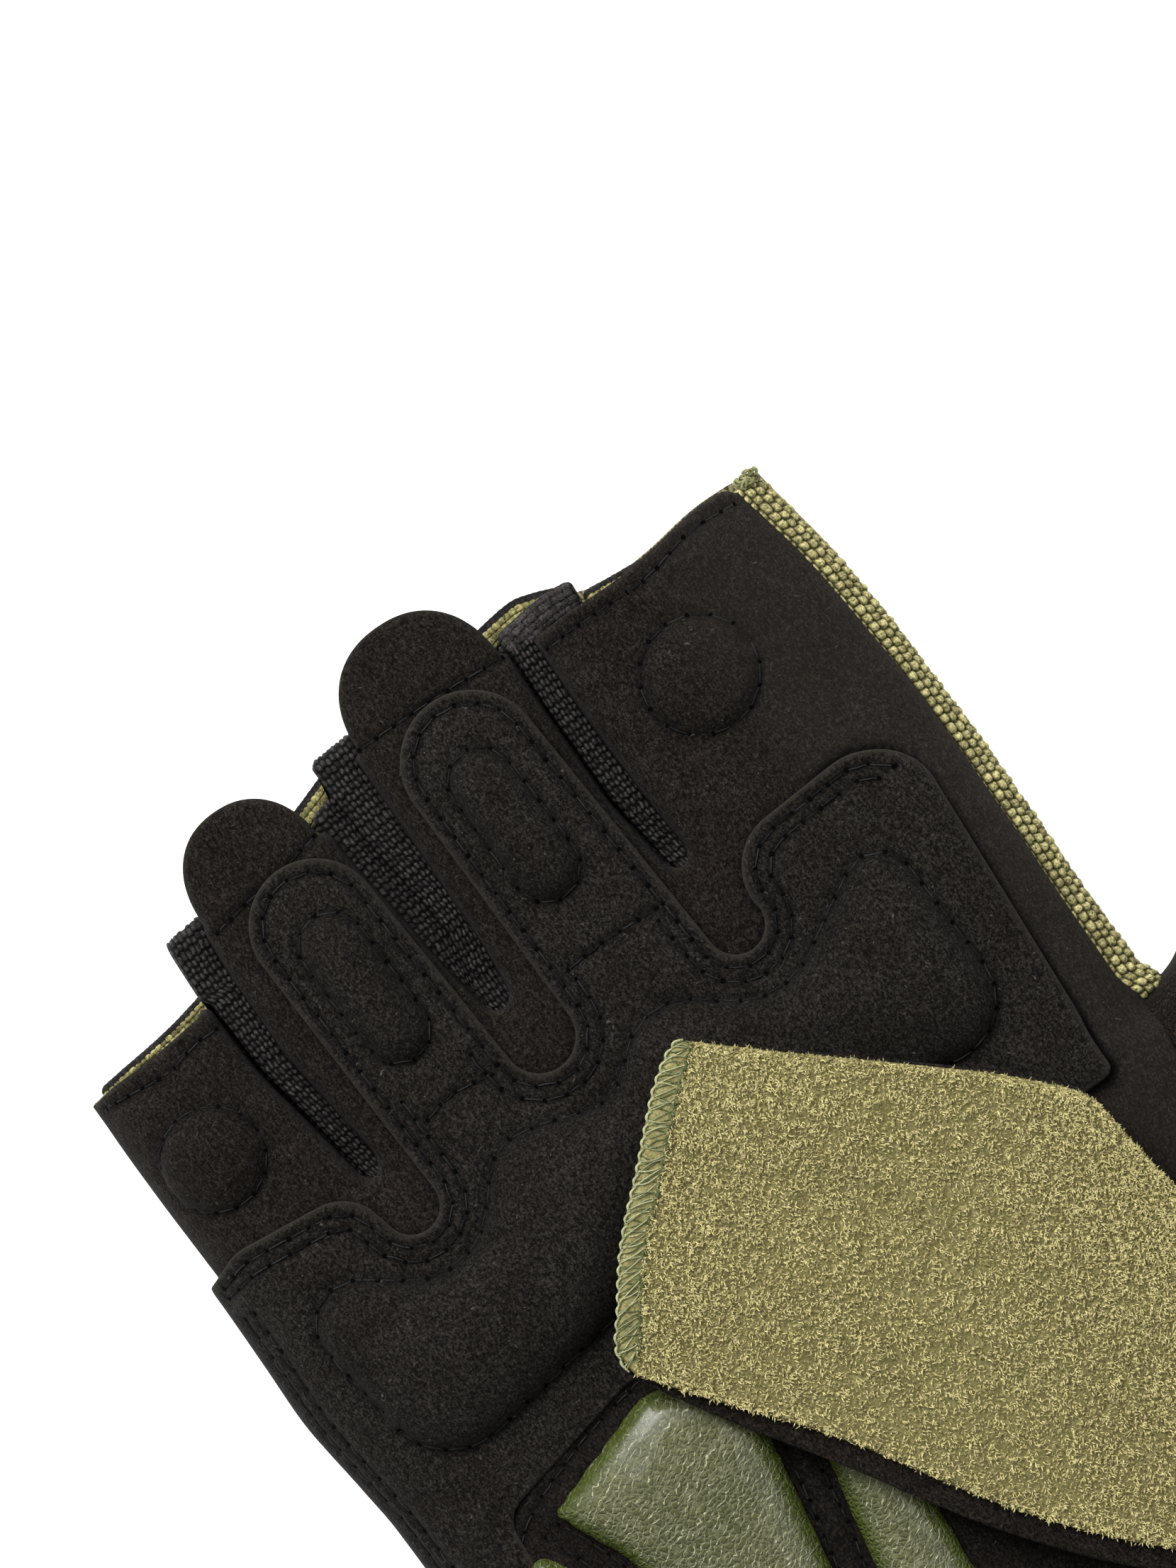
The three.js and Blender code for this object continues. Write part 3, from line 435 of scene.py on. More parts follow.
def cloth_net(outline, step):
    """A net of square meshes cut to an outline, its border drawn onto the outline."""
    low, high = outline.min(0) - step, outline.max(0) + step
    size = high - low
    count = np.ceil(size / step).astype(int)
    net = bmesh.new()
    bmesh.ops.create_grid(net, x_segments=int(count[0]), y_segments=int(count[1]), size=0.5)
    bmesh.ops.scale(net, vec=(*size, 1), verts=net.verts)
    bmesh.ops.translate(net, vec=(*(low + size / 2), 0), verts=net.verts)
    places = np.array([v.co[:2] for v in net.verts])
    distance = from_outline(places, outline)[0]
    outside = [f for f in net.faces if min(distance[v.index] for v in f.verts) < -0.5 * step]
    bmesh.ops.delete(net, geom=outside, context="FACES")
    border = [v for v in net.verts if v.is_boundary]
    nearest = from_outline(np.array([v.co[:2] for v in border]), outline)[1]
    for v, (x, y) in zip(border, nearest):
        v.co = (x, y, 0)
    bmesh.ops.remove_doubles(net, verts=border, dist=0.12 * step)
    near = {w for v in net.verts if v.is_boundary for e in v.link_edges for w in e.verts}
    near |= {w for v in near for e in v.link_edges for w in e.verts}
    inner = [v for v in near if not v.is_boundary]
    for _ in range(4):
        bmesh.ops.smooth_vert(net, verts=inner, factor=0.5, use_axis_x=True, use_axis_y=True)
    return net


def turn_down(net, rings):
    """Border rings that start on the net's border, for an edge that turns down."""
    ring = {}
    for number in range(1, rings + 1):
        edges = [e for e in net.edges if e.is_boundary]
        made = bmesh.ops.extrude_edge_only(net, edges=edges)["geom"]
        for part in made:
            if isinstance(part, bmesh.types.BMVert):
                ring[part] = number
    net.verts.index_update()
    numbers = np.zeros(len(net.verts), int)
    for v, number in ring.items():
        numbers[v.index] = number
    return numbers


def into_mesh(name, net, places, marks=None, flat=None, flip=False):
    """An object from a net, with its places in millimetres of the pattern."""
    mesh = bpy.data.meshes.new(name)
    net.to_mesh(mesh)
    net.free()
    mesh.vertices.foreach_set("co", ((places + SHIFT) * MM).astype(np.float32).ravel())
    return into_object(name, mesh, marks, flat, flip)


def into_object(name, mesh, marks=None, flat=None, flip=False):
    """An object with smooth faces, its marks as attributes and its flat places as a map."""
    mesh.update()
    if flip:
        mesh.flip_normals()
    mesh.polygons.foreach_set("use_smooth", np.ones(len(mesh.polygons), bool))
    for key, values in (marks or {}).items():
        layer = mesh.attributes.new(key, "FLOAT", "POINT")
        layer.data.foreach_set("value", np.asarray(values, np.float32))
    if flat is not None:
        corner = np.zeros(len(mesh.loops), np.int32)
        mesh.loops.foreach_get("vertex_index", corner)
        mesh.uv_layers.new(name="flat").data.foreach_set("uv", flat[corner].astype(np.float32).ravel())
    item = bpy.data.objects.new(name, mesh)
    bpy.context.scene.collection.objects.link(item)
    return item


def from_arrays(name, places, faces, marks=None, flat=None, flip=False):
    """An object of many small repeated shapes."""
    mesh = bpy.data.meshes.new(name)
    corners = faces.tolist() if hasattr(faces, "tolist") else faces
    mesh.from_pydata(((places + SHIFT) * MM).tolist(), [], corners)
    return into_object(name, mesh, marks, flat, flip)


def sheet_grid(name, rows, columns, place, flip=False, closed=False):
    """A grid of rows by columns, put in place by a function of two shares from 0 to 1."""
    net = bmesh.new()
    bmesh.ops.create_grid(net, x_segments=columns, y_segments=rows, size=0.5)
    shares = np.array([v.co[:2] for v in net.verts]) + 0.5
    places, flat, marks = place(shares[:, 0], shares[:, 1])
    item = into_mesh(name, net, places, marks, flat, flip)
    if closed:
        net = bmesh.new()
        net.from_mesh(item.data)
        bmesh.ops.remove_doubles(net, verts=net.verts, dist=1e-6)
        bmesh.ops.recalc_face_normals(net, faces=net.faces)
        net.to_mesh(item.data)
        net.free()
    return item


def tubes(name, paths, radii, sides=5, marks=None):
    """Joined round threads: paths is (threads, points, 3), radii (threads, points)."""
    count, length, _ = paths.shape
    along = np.gradient(paths, axis=1)
    along /= np.maximum(np.linalg.norm(along, axis=2, keepdims=True), 1e-9)
    up = np.zeros_like(along)
    up[..., 2] = 1
    steep = np.abs(along[..., 2]) > 0.95
    up[steep] = (0, 1, 0)
    across = np.cross(along, up)
    across /= np.maximum(np.linalg.norm(across, axis=2, keepdims=True), 1e-9)
    up = np.cross(across, along)
    turns = np.arange(sides) * 2 * math.pi / sides
    offset = (across[:, :, None] * np.cos(turns)[None, None, :, None]
              + up[:, :, None] * np.sin(turns)[None, None, :, None])
    places = (paths[:, :, None] + offset * radii[:, :, None, None]).reshape(-1, 3)
    base = (np.arange(count)[:, None, None] * length + np.arange(length - 1)[None, :, None]) * sides
    k = np.arange(sides)[None, None, :]
    after = (k + 1) % sides
    faces = np.stack([base + k, base + after, base + after + sides, base + k + sides], axis=-1).reshape(-1, 4)
    extra = {key: np.repeat(values, length * sides) for key, values in (marks or {}).items()}
    return from_arrays(name, places, faces, extra, flip=True)


def thicken(item, wall):
    """Gives a sheet its thickness, inward from its face."""
    finish = item.modifiers.new("wall", "SOLIDIFY")
    finish.thickness = wall * MM
    finish.offset = -1.0
    finish.use_even_offset = False
    finish.use_quality_normals = True


# Materials


def shader_group(name, inputs, outputs):
    """An empty group of nodes with named sockets."""
    group = bpy.data.node_groups.new(name, "ShaderNodeTree")
    for label, kind, value in inputs:
        socket = group.interface.new_socket(name=label, in_out="INPUT", socket_type=kind)
        if value is not None:
            socket.default_value = value
    for label, kind in outputs:
        group.interface.new_socket(name=label, in_out="OUTPUT", socket_type=kind)
    return group, group.nodes.new("NodeGroupInput"), group.nodes.new("NodeGroupOutput")


def node(tree, kind, settings=None, **links):
    """A node with its settings and its sockets; a link is a socket, anything else a value."""
    made = tree.nodes.new(kind)
    for key, value in (settings or {}).items():
        setattr(made, key, value)
    for key, value in links.items():
        name = key.replace("_", " ")
        socket = made.inputs[int(key[1:])] if key[0] == "i" and key[1:].isdigit() else made.inputs[name]
        if isinstance(value, bpy.types.NodeSocket):
            tree.links.new(value, socket)
        else:
            socket.default_value = value
    return made


def maths(tree, operation, a, b=0.0, c=0.0, clamp=False):
    """The result of a math node; c is read by MULTIPLY_ADD alone."""
    made = node(tree, "ShaderNodeMath", {"operation": operation, "use_clamp": clamp}, i0=a, i1=b)
    if operation == "MULTIPLY_ADD":
        if isinstance(c, bpy.types.NodeSocket):
            tree.links.new(c, made.inputs[2])
        else:
            made.inputs[2].default_value = c
    return made.outputs[0]


def spread(tree, value, low, high, out_low=0.0, out_high=1.0):
    """A value's range drawn out to another, and held at its ends."""
    made = node(tree, "ShaderNodeMapRange", {"clamp": True}, Value=value)
    for key, number in (("From Min", low), ("From Max", high), ("To Min", out_low), ("To Max", out_high)):
        made.inputs[key].default_value = number
    return made.outputs["Result"]


def noise(tree, where, scale, detail=2.0, roughness=0.5, stretch=None):
    """Smooth noise, with its places stretched first where asked."""
    if stretch is not None:
        where = node(tree, "ShaderNodeMapping", None, Vector=where, Scale=stretch).outputs[0]
    return node(tree, "ShaderNodeTexNoise", None, Vector=where, Scale=scale, Detail=detail,
                Roughness=roughness).outputs["Fac"]


def blend(tree, share, low, high, how="MIX"):
    """One colour laid over another by a share."""
    made = tree.nodes.new("ShaderNodeMix")
    made.data_type = "RGBA"
    made.blend_type = how
    for socket, value in ((made.inputs[0], share), (made.inputs[6], low), (made.inputs[7], high)):
        if isinstance(value, bpy.types.NodeSocket):
            tree.links.new(value, socket)
        else:
            socket.default_value = value if isinstance(value, float) else (*value[:3], 1)
    return made.outputs[2]


def bump(tree, height, strength, depth):
    """The normal of a surface raised by a height; depth is in millimetres."""
    made = node(tree, "ShaderNodeBump", None, Height=height, Strength=strength, Distance=depth * MM)
    return made.outputs[0]


def nap_group():
    """Brushed nap of synthetic suede: tone of the fibres, clouds, specks of lint and the lie of the nap."""
    group, _, out = shader_group(
        "brushed nap", [], [("Tone", "NodeSocketFloat"), ("Cloud", "NodeSocketFloat"),
                            ("Lint", "NodeSocketFloat"), ("Normal", "NodeSocketVector")])
    where = node(group, "ShaderNodeTexCoord").outputs["Object"]
    fibre = noise(group, where, 4300, 2, 0.65)
    streak = noise(group, where, 3000, 2, 0.7, (1, 0.55, 1))
    cloud = noise(group, where, 130, 3, 0.55)
    patch = noise(group, where, 600, 2, 0.5)
    both = maths(group, "ADD", maths(group, "MULTIPLY", fibre, 0.5), maths(group, "MULTIPLY", streak, 0.5))
    tone = maths(group, "POWER", spread(group, both, 0.39, 0.64), 1.7)
    group.links.new(tone, out.inputs["Tone"])
    mixed = maths(group, "ADD", maths(group, "MULTIPLY", cloud, 0.6), maths(group, "MULTIPLY", patch, 0.4))
    group.links.new(spread(group, mixed, 0.36, 0.64), out.inputs["Cloud"])
    drift = node(group, "ShaderNodeVectorMath", {"operation": "SCALE"}, i0=node(
        group, "ShaderNodeTexNoise", None, Vector=where, Scale=700.0, Detail=1.0).outputs["Color"])
    drift.inputs["Scale"].default_value = 0.0022
    bent = node(group, "ShaderNodeVectorMath", {"operation": "ADD"}, i0=where, i1=drift.outputs[0]).outputs[0]
    drawn = node(group, "ShaderNodeMapping", None, Vector=bent, Scale=(0.5, 1.5, 1.0)).outputs[0]
    specks = node(group, "ShaderNodeTexVoronoi", {"feature": "F1"}, Vector=drawn, Scale=1150.0)
    small = spread(group, specks.outputs["Distance"], 0.06, 0.16, 1, 0)
    rare = spread(group, node(group, "ShaderNodeSeparateColor", None,
                              Color=specks.outputs["Color"]).outputs[0], 0.55, 0.95)
    group.links.new(maths(group, "MULTIPLY", small, rare), out.inputs["Lint"])
    lie = maths(group, "ADD", both, maths(group, "MULTIPLY", patch, 0.6))
    group.links.new(bump(group, lie, 0.55, 0.35), out.inputs["Normal"])
    return group


def knit_group():
    """Ribbed knit: the height of its loops, a tone that differs from loop to loop, and its normal."""
    group, inside, out = shader_group(
        "knit loops",
        [("Wale", "NodeSocketFloat", 1.1), ("Course", "NodeSocketFloat", 0.9)],
        [("Height", "NodeSocketFloat"), ("Tone", "NodeSocketFloat"), ("Normal", "NodeSocketVector")])
    flat = node(group, "ShaderNodeUVMap", {"uv_map": "flat"}).outputs[0]
    split = node(group, "ShaderNodeSeparateXYZ", None, Vector=flat)
    wobble = noise(group, flat, 0.9, 2)
    across = maths(group, "DIVIDE", maths(group, "MULTIPLY_ADD", wobble, 0.35, split.outputs[0]),
                   inside.outputs["Wale"])
    along = maths(group, "DIVIDE", split.outputs[1], inside.outputs["Course"])
    centred = maths(group, "SUBTRACT", maths(group, "FRACT", across), 0.5)
    leg = maths(group, "ABSOLUTE", centred)
    slanted = maths(group, "MULTIPLY_ADD", leg, 0.9, along)
    step = maths(group, "SUBTRACT", maths(group, "FRACT", slanted), 0.5)
    wide = maths(group, "POWER", maths(group, "ABSOLUTE", maths(
        group, "DIVIDE", maths(group, "SUBTRACT", leg, 0.24), 0.25)), 2.0)
    tall = maths(group, "POWER", maths(group, "ABSOLUTE", maths(group, "DIVIDE", step, 0.5)), 2.2)
    height = maths(group, "SUBTRACT", 1.0, maths(group, "ADD", wide, tall), clamp=True)
    height = maths(group, "POWER", height, 0.6)
    cell = node(group, "ShaderNodeCombineXYZ", None,
                X=maths(group, "FLOOR", maths(group, "MULTIPLY", across, 2.0)),
                Y=maths(group, "FLOOR", slanted))
    each = node(group, "ShaderNodeTexWhiteNoise", {"noise_dimensions": "2D"},
                Vector=cell.outputs[0]).outputs["Value"]
    strands = noise(group, flat, 6.0, 3, 0.7)
    tone = maths(group, "MULTIPLY_ADD", each, 0.45, maths(group, "MULTIPLY", strands, 0.55))
    group.links.new(height, out.inputs["Height"])
    group.links.new(tone, out.inputs["Tone"])
    raised = maths(group, "MULTIPLY_ADD", strands, 0.35, height)
    group.links.new(bump(group, raised, 0.9, 0.3), out.inputs["Normal"])
    return group


def yarn_group():
    """Fine twist and fuzz of sewing thread and knitting yarn."""
    group, _, out = shader_group(
        "yarn fuzz", [], [("Tone", "NodeSocketFloat"), ("Normal", "NodeSocketVector")])
    where = node(group, "ShaderNodeTexCoord").outputs["Object"]
    fine = noise(group, where, 3800, 3, 0.7)
    coarse = noise(group, where, 1900, 2, 0.6)
    strands = maths(group, "ADD", maths(group, "MULTIPLY", fine, 0.65),
                    maths(group, "MULTIPLY", coarse, 0.35))
    group.links.new(spread(group, strands, 0.34, 0.66), out.inputs["Tone"])
    group.links.new(bump(group, strands, 0.75, 0.30), out.inputs["Normal"])
    return group


def leather_group():
    """Grain of coated leather: pebbles drawn out along the pad, with pale lines between them, a painted
    highlight on the grain's ridges.
    """
    group, _, out = shader_group(
        "pebbled grain", [], [("Ridge Highlight", "NodeSocketFloat"), ("Cloud", "NodeSocketFloat"),
                              ("Normal", "NodeSocketVector")])
    where = node(group, "ShaderNodeTexCoord").outputs["Object"]
    shifted = node(group, "ShaderNodeTexNoise", None, Vector=where, Scale=1100.0, Detail=2.0).outputs["Color"]
    drift = node(group, "ShaderNodeVectorMath", {"operation": "SCALE"}, i0=shifted)
    drift.inputs["Scale"].default_value = 0.0007
    bent = node(group, "ShaderNodeVectorMath", {"operation": "ADD"}, i0=where, i1=drift.outputs[0]).outputs[0]
    turned = node(group, "ShaderNodeMapping", None, Vector=bent, Rotation=(0, 0, math.radians(-29)),
                  Scale=(1, 1, 0.3)).outputs[0]
    wave = noise(group, turned, 650, 2, 0.5, (0.8, 0.8, 1))
    rows = node(group, "ShaderNodeSeparateXYZ", None, Vector=turned).outputs[1]
    phase = maths(group, "MULTIPLY_ADD", rows, 1380.0, maths(group, "MULTIPLY", wave, 2.5))
    off_line = maths(group, "ABSOLUTE", maths(group, "SUBTRACT", maths(group, "FRACT", phase), 0.5))
    broken = spread(group, noise(group, turned, 1600, 1, 0.5, (0.6, 1, 1)), 0.43, 0.55)
    line = maths(group, "MULTIPLY", spread(group, off_line, 0.025, 0.11, 1, 0), broken)
    group.links.new(spread(group, noise(group, where, 150, 2), 0.35, 0.65), out.inputs["Cloud"])
    pebbles = node(group, "ShaderNodeTexVoronoi", {"feature": "DISTANCE_TO_EDGE"}, Vector=bent, Scale=1400.0)
    pebble = spread(group, pebbles.outputs["Distance"], 0.0, 0.25)
    # pale lines and pebble edges: a painted highlight along the grain's ridges
    fold = maths(group, "MULTIPLY_ADD", maths(group, "SUBTRACT", 1.0, pebble), 0.16, line, clamp=True)
    group.links.new(fold, out.inputs["Ridge Highlight"])
    height = maths(group, "MULTIPLY_ADD", pebble, 0.9, maths(group, "MULTIPLY", line, 0.7))
    group.links.new(bump(group, height, 0.9, 0.24), out.inputs["Normal"])
    return group


NAP, LOOPS, YARN, GRAIN = nap_group(), knit_group(), yarn_group(), leather_group()


def new_material(name):
    made = bpy.data.materials.new(name)
    made.use_nodes = True
    tree = made.node_tree
    shader = tree.nodes["Principled BSDF"]
    return made, tree, shader


def grouped(tree, group, **values):
    made = tree.nodes.new("ShaderNodeGroup")
    made.node_tree = group
    for key, value in values.items():
        made.inputs[key].default_value = value
    return made.outputs


def attribute(tree, name):
    return node(tree, "ShaderNodeAttribute", {"attribute_name": name}).outputs["Fac"]


PAINTED_SHADE_COLOUR = (0.0022, 0.0020, 0.0018)      # painted shade of the suede at its stitches, at the feet of its pads and beside the overlay
PALE_AND_HIGHLIGHT_COLOUR = (0.034, 0.030, 0.025)             # and where it is paler: at cut edges, on the overlay's rim partly a painted highlight, and towards the palm's index side
CLOUD_DARK, CLOUD_LIGHT = (0.84, 0.80, 0.744), (1.22, 1.22, 1.22)


def suede(name, dark, light, lint):
    """Brushed suede; its two attributes are 1 in painted shade at seams, pad feet and beside the overlay, and
    where it is paler, at cut edges partly as a painted highlight.
    """
    made, tree, shader = new_material(name)
    nap = grouped(tree, NAP)
    base = blend(tree, nap["Tone"], dark, light)
    clouded = blend(tree, nap["Cloud"], CLOUD_DARK, CLOUD_LIGHT)
    colour = blend(tree, 1.0, base, clouded, "MULTIPLY")
    # painted shade at seams, at the feet of pads and beside the overlay
    colour = blend(tree, attribute(tree, "painted_shade"), colour, PAINTED_SHADE_COLOUR)
    # paler cut edges, on the overlay's rim partly a painted highlight, and a paler index side
    colour = blend(tree, attribute(tree, "pale_and_highlight"), colour, PALE_AND_HIGHLIGHT_COLOUR)
    colour = blend(tree, nap["Lint"], colour, lint)
    tree.links.new(colour, shader.inputs["Base Color"])
    tree.links.new(nap["Normal"], shader.inputs["Normal"])
    shader.inputs["Roughness"].default_value = 0.95
    shader.inputs["Specular IOR Level"].default_value = 0.06
    shader.inputs["Sheen Weight"].default_value = 0.02
    shader.inputs["Sheen Roughness"].default_value = 0.6
    shader.inputs["Sheen Tint"].default_value = (1, 0.95, 0.88, 1)
    return made


def knit(name, gap, dark, light, wale, course):
    """Flat ribbed knit with painted shade in the gaps between its loops; wale and course are the width and
    length of its loops.
    """
    made, tree, shader = new_material(name)
    loops = grouped(tree, LOOPS, Wale=wale, Course=course)
    colour = blend(tree, loops["Tone"], dark, light)
    # painted shade where the loops dip between each other
    colour = blend(tree, spread(tree, loops["Height"], 0.05, 0.5), gap, colour)
    tree.links.new(colour, shader.inputs["Base Color"])
    tree.links.new(loops["Normal"], shader.inputs["Normal"])
    shader.inputs["Roughness"].default_value = 0.85
    shader.inputs["Specular IOR Level"].default_value = 0.25
    shader.inputs["Sheen Weight"].default_value = 0.15
    return made


def yarn(name, dark, light, grain=0.4, roughness=0.8):
    """Yarn whose own attribute shade varies from thread to thread; on beads, slit walls, the plush ground and
    the pile's roots it also holds painted shade.
    """
    made, tree, shader = new_material(name)
    fuzz = grouped(tree, YARN)
    mixed = maths(tree, "MULTIPLY", attribute(tree, "shade"),
                  spread(tree, fuzz["Tone"], 0, 1, 1 - grain, 1 + 0.5 * grain), clamp=True)
    tree.links.new(blend(tree, mixed, dark, light), shader.inputs["Base Color"])
    tree.links.new(fuzz["Normal"], shader.inputs["Normal"])
    shader.inputs["Roughness"].default_value = roughness
    shader.inputs["Specular IOR Level"].default_value = 0.12
    return made


LEATHER_DARK, LEATHER_LIGHT = (0.072, 0.077, 0.023), (0.100, 0.104, 0.036)
# painted shade of a pad's steep border
LEATHER_EDGE_SHADE = (0.056, 0.078, 0.006)
# painted highlight on the grain's ridges
LEATHER_RIDGE_HIGHLIGHT = (0.60, 0.60, 0.38)


def leather(name):
    """Coated leather whose attribute edge is 1 at a pad's border, where painted shade makes it darker and
    greener and its painted ridge highlight is weaker.
    """
    made, tree, shader = new_material(name)
    grain = grouped(tree, GRAIN)
    base = blend(tree, grain["Cloud"], LEATHER_DARK, LEATHER_LIGHT)
    # painted shade on a pad's steep border, darker and greener
    base = blend(tree, attribute(tree, "edge"), base, LEATHER_EDGE_SHADE)
    # the painted ridge highlight, weaker at a pad's border
    ridge_highlight = maths(tree, "MULTIPLY", grain["Ridge Highlight"], spread(tree, attribute(tree, "edge"), 0.5, 1, 1, 0.25))
    base = blend(tree, ridge_highlight, base, LEATHER_RIDGE_HIGHLIGHT)
    tree.links.new(base, shader.inputs["Base Color"])
    tree.links.new(grain["Normal"], shader.inputs["Normal"])
    shader.inputs["Roughness"].default_value = 0.45
    shader.inputs["Specular IOR Level"].default_value = 0.25
    shader.inputs["Coat Weight"].default_value = 0.52
    shader.inputs["Coat Roughness"].default_value = 0.18
    return made


def plain_dark(name, colour):
    """A dull dark colour, a little uneven, for dots of painted shade."""
    made, tree, shader = new_material(name)
    fuzz = grouped(tree, YARN)
    uneven = blend(tree, fuzz["Tone"], colour, tuple(c * 1.8 for c in colour))
    tree.links.new(uneven, shader.inputs["Base Color"])
    tree.links.new(fuzz["Normal"], shader.inputs["Normal"])
    shader.inputs["Roughness"].default_value = 1.0
    shader.inputs["Specular IOR Level"].default_value = 0.05
    return made


PALM_SUEDE = suede("palm suede", (0.0034, 0.0027, 0.0022), (0.0340, 0.0285, 0.0238), (0.075, 0.066, 0.055))
OVERLAY_SUEDE = suede("overlay suede", (0.0034, 0.0029, 0.0025), (0.0385, 0.0340, 0.0297),
                      (0.100, 0.090, 0.078))
HEEL_SUEDE = suede("heel suede", (0.0030, 0.0025, 0.0021), (0.0255, 0.0210, 0.0178), (0.085, 0.074, 0.062))
# its first colour is the painted shade in the knit's gaps
GREEN_KNIT = knit("green knit", (0.035, 0.032, 0.012), (0.16, 0.14, 0.055), (0.36, 0.33, 0.16), 1.1, 1.19)
BLACK_BEAD = yarn("black knit beads", (0.0014, 0.0011, 0.0011), (0.076, 0.066, 0.065), 0.95)
BLACK_EDGE = yarn("black edging", (0.004, 0.0038, 0.0034), (0.032, 0.030, 0.027), 0.7)
BLACK_THREAD = yarn("black thread", (0.0030, 0.0032, 0.0034), (0.034, 0.035, 0.034), 0.4, 0.6)
# painted shade inside the needle holes
NEEDLE_HOLE_SHADE = plain_dark("needle hole shade", (0.0010, 0.0009, 0.0009))
GREEN_BEAD = yarn("green knit beads", (0.022, 0.019, 0.004), (0.72, 0.655, 0.300), 0.9)
HEM_BEAD = yarn("green hem beads", (0.018, 0.016, 0.003), (0.47, 0.43, 0.18), 0.9)
GREEN_THREAD = yarn("green overlock thread", (0.070, 0.090, 0.028), (0.56, 0.57, 0.32), 0.3, 0.6)
PLUSH_GROUND = yarn("plush ground", (0.090, 0.075, 0.024), (0.42, 0.385, 0.165), 0.6)
PLUSH_PILE = yarn("plush pile", (0.17, 0.145, 0.046), (0.97, 0.870, 0.420), 0.2)
KNOT_YARN = yarn("knotted yarn", (0.10, 0.10, 0.035), (0.44, 0.44, 0.22), 0.4)
GREEN_LEATHER = leather("green leather")


# Heights of the layers

big_folds = ripple(3, 19)
small_folds = ripple(8, 7)


def relief(flat):
    """Uneven lie of the cloth that all the layers of the palm share."""
    return 0.32 * big_folds(flat) + 0.10 * small_folds(flat)


def stitches(lines, gap, closed=False):
    """Needle holes along lines of flat places."""
    return [spaced(line, gap, closed) for line in lines]


def inside_only(line, keep):
    """The stretches of a line that a test keeps, those of more than eight points."""
    wanted = keep(line)
    stretches, current = [], []
    for point, good in zip(line, wanted):
        if good:
            current.append(point)
        elif current:
            stretches.append(np.array(current))
            current = []
    if current:
        if stretches and wanted[0]:
            stretches[0] = np.vstack([np.array(current), stretches[0]])
        else:
            stretches.append(np.array(current))
    return [s for s in stretches if len(s) > 8]


def left_rim(y):
    """Where the palm's flat places end at the seam on the little side."""
    left, _, rho, _ = roll_lengths(y)
    return left - rho * math.pi / 2


def right_rim(y):
    """Where they end on the index side."""
    _, right, _, rho = roll_lengths(y)
    return right + rho * math.pi / 2


overlay_outline = flatten(belt(OVERLAY_EDGE))
overlay_outline[:, 0] = np.maximum(overlay_outline[:, 0], left_rim(overlay_outline[:, 1]) + 0.05)
heart_outline = flatten(belt(HEART_EDGE))
middle_oval = belt(MIDDLE_OVAL)
ring_oval = belt(RING_OVAL)
index_disc = belt(INDEX_DISC)
little_disc = flatten(belt(LITTLE_DISC))

strap_edge = np.vstack([STRAP_ROWS[:, 0:2], STRAP_ROWS[::-1, 3:5]])


def under_strap(flat):
    """1 beneath the strap, fading out over a few millimetres beside it."""
    return smooth_step(from_outline(flat, strap_edge)[0] / 6 + 1)


heart_swell = pillow(heart_outline, 0.62)
heart_swell.values *= (1 - 0.27 * under_strap(heart_swell.places)).reshape(heart_swell.shape)
middle_swell = pillow(middle_oval, 0.72)
ring_swell = pillow(ring_oval, 0.72)
index_swell = pillow(index_disc, 0.72)
little_swell = pillow(little_disc, 0.72)


def sewn_border(p):
    """The overlay's border where its stitches show: not on its index side and not along the heel panel."""
    return (p[:, 0] > left_rim(p[:, 1]) + 4.0) & (p[:, 1] > -52) & ~((p[:, 0] > 20) & (p[:, 1] < -18.6))


FIRST_ROW, SECOND_ROW = 1.35, 2.95       # how far in from its border the overlay is sewn
border_first = inside_only(flatten(belt(OVERLAY_EDGE, FIRST_ROW)), sewn_border)
border_second = inside_only(flatten(belt(OVERLAY_EDGE, SECOND_ROW)),
                            lambda p: sewn_border(p) & ~((p[:, 1] > -17) & (p[:, 0] < 3)))
side_ys = np.linspace(-118, -27.5, 180)
side_rows = [np.stack([left_rim(side_ys) + inset, side_ys], axis=1) for inset in (4.6, 6.6)]

overlay_holes = (stitches(border_first, 2.6) + stitches(border_second, 2.5) + stitches(side_rows, 2.6)
                 + stitches([rounded(row) for row in CROSS_ROWS], 2.4)
                 + stitches([heart_outline], 2.8, True) + stitches([middle_oval, ring_oval], 2.7, True))
palm_holes = (stitches([flatten(rounded(row)) for row in HEM_ROWS], 2.3)
              + stitches([index_disc, little_disc], 2.7, True))
cuff_holes = (stitches([flatten(rounded(row)) for row in BAND_ROWS], 2.2)
              + stitches([rounded(row) for row in CHANNEL_ROWS], 2.2))


class Sewn:
    """A layer above the palm's face: its height, pads, and the dents of its stitches."""

    def __init__(self, height, holes, pads, dent=0.30):
        self.height, self.pads, self.dent = height, pads, dent
        self.line = np.vstack([spaced(row, 0.2) for row in holes])
        self.marks = np.vstack(holes)

    def swell(self, flat):
        """How far the pads lift the layer."""
        total = np.zeros(len(flat))
        for field, rise in self.pads:
            inside = np.all((flat > field.low) & (
                flat < field.low + (np.array(field.shape) - 1) * field.step), axis=1)
            total += np.where(inside, field(flat), 0) * rise
        return total

    def to_line(self, flat):
        """Distance to the nearest stitch line."""
        return nearest_distance(flat, self.line)

    def out(self, flat):
        """Height above the palm's bare face."""
        to_hole = nearest_distance(flat, self.marks)
        groove = self.dent * np.exp(-(self.to_line(flat) / 0.75) ** 2) + 0.18 * np.exp(-(to_hole / 0.5) ** 2)
        return self.height + relief(flat) + self.swell(flat) - groove


def foot_of_pads(flat, outlines, reach):
    """1 at a pad's stitches, fading out up its slope, where the nap lies in shade."""
    foot = np.zeros(len(flat))
    for outline in outlines:
        inside = from_outline(flat, outline)[0]
        foot = np.maximum(foot, np.exp(-(inside / np.where(inside > 0, reach, 0.8)) ** 2))
    return foot


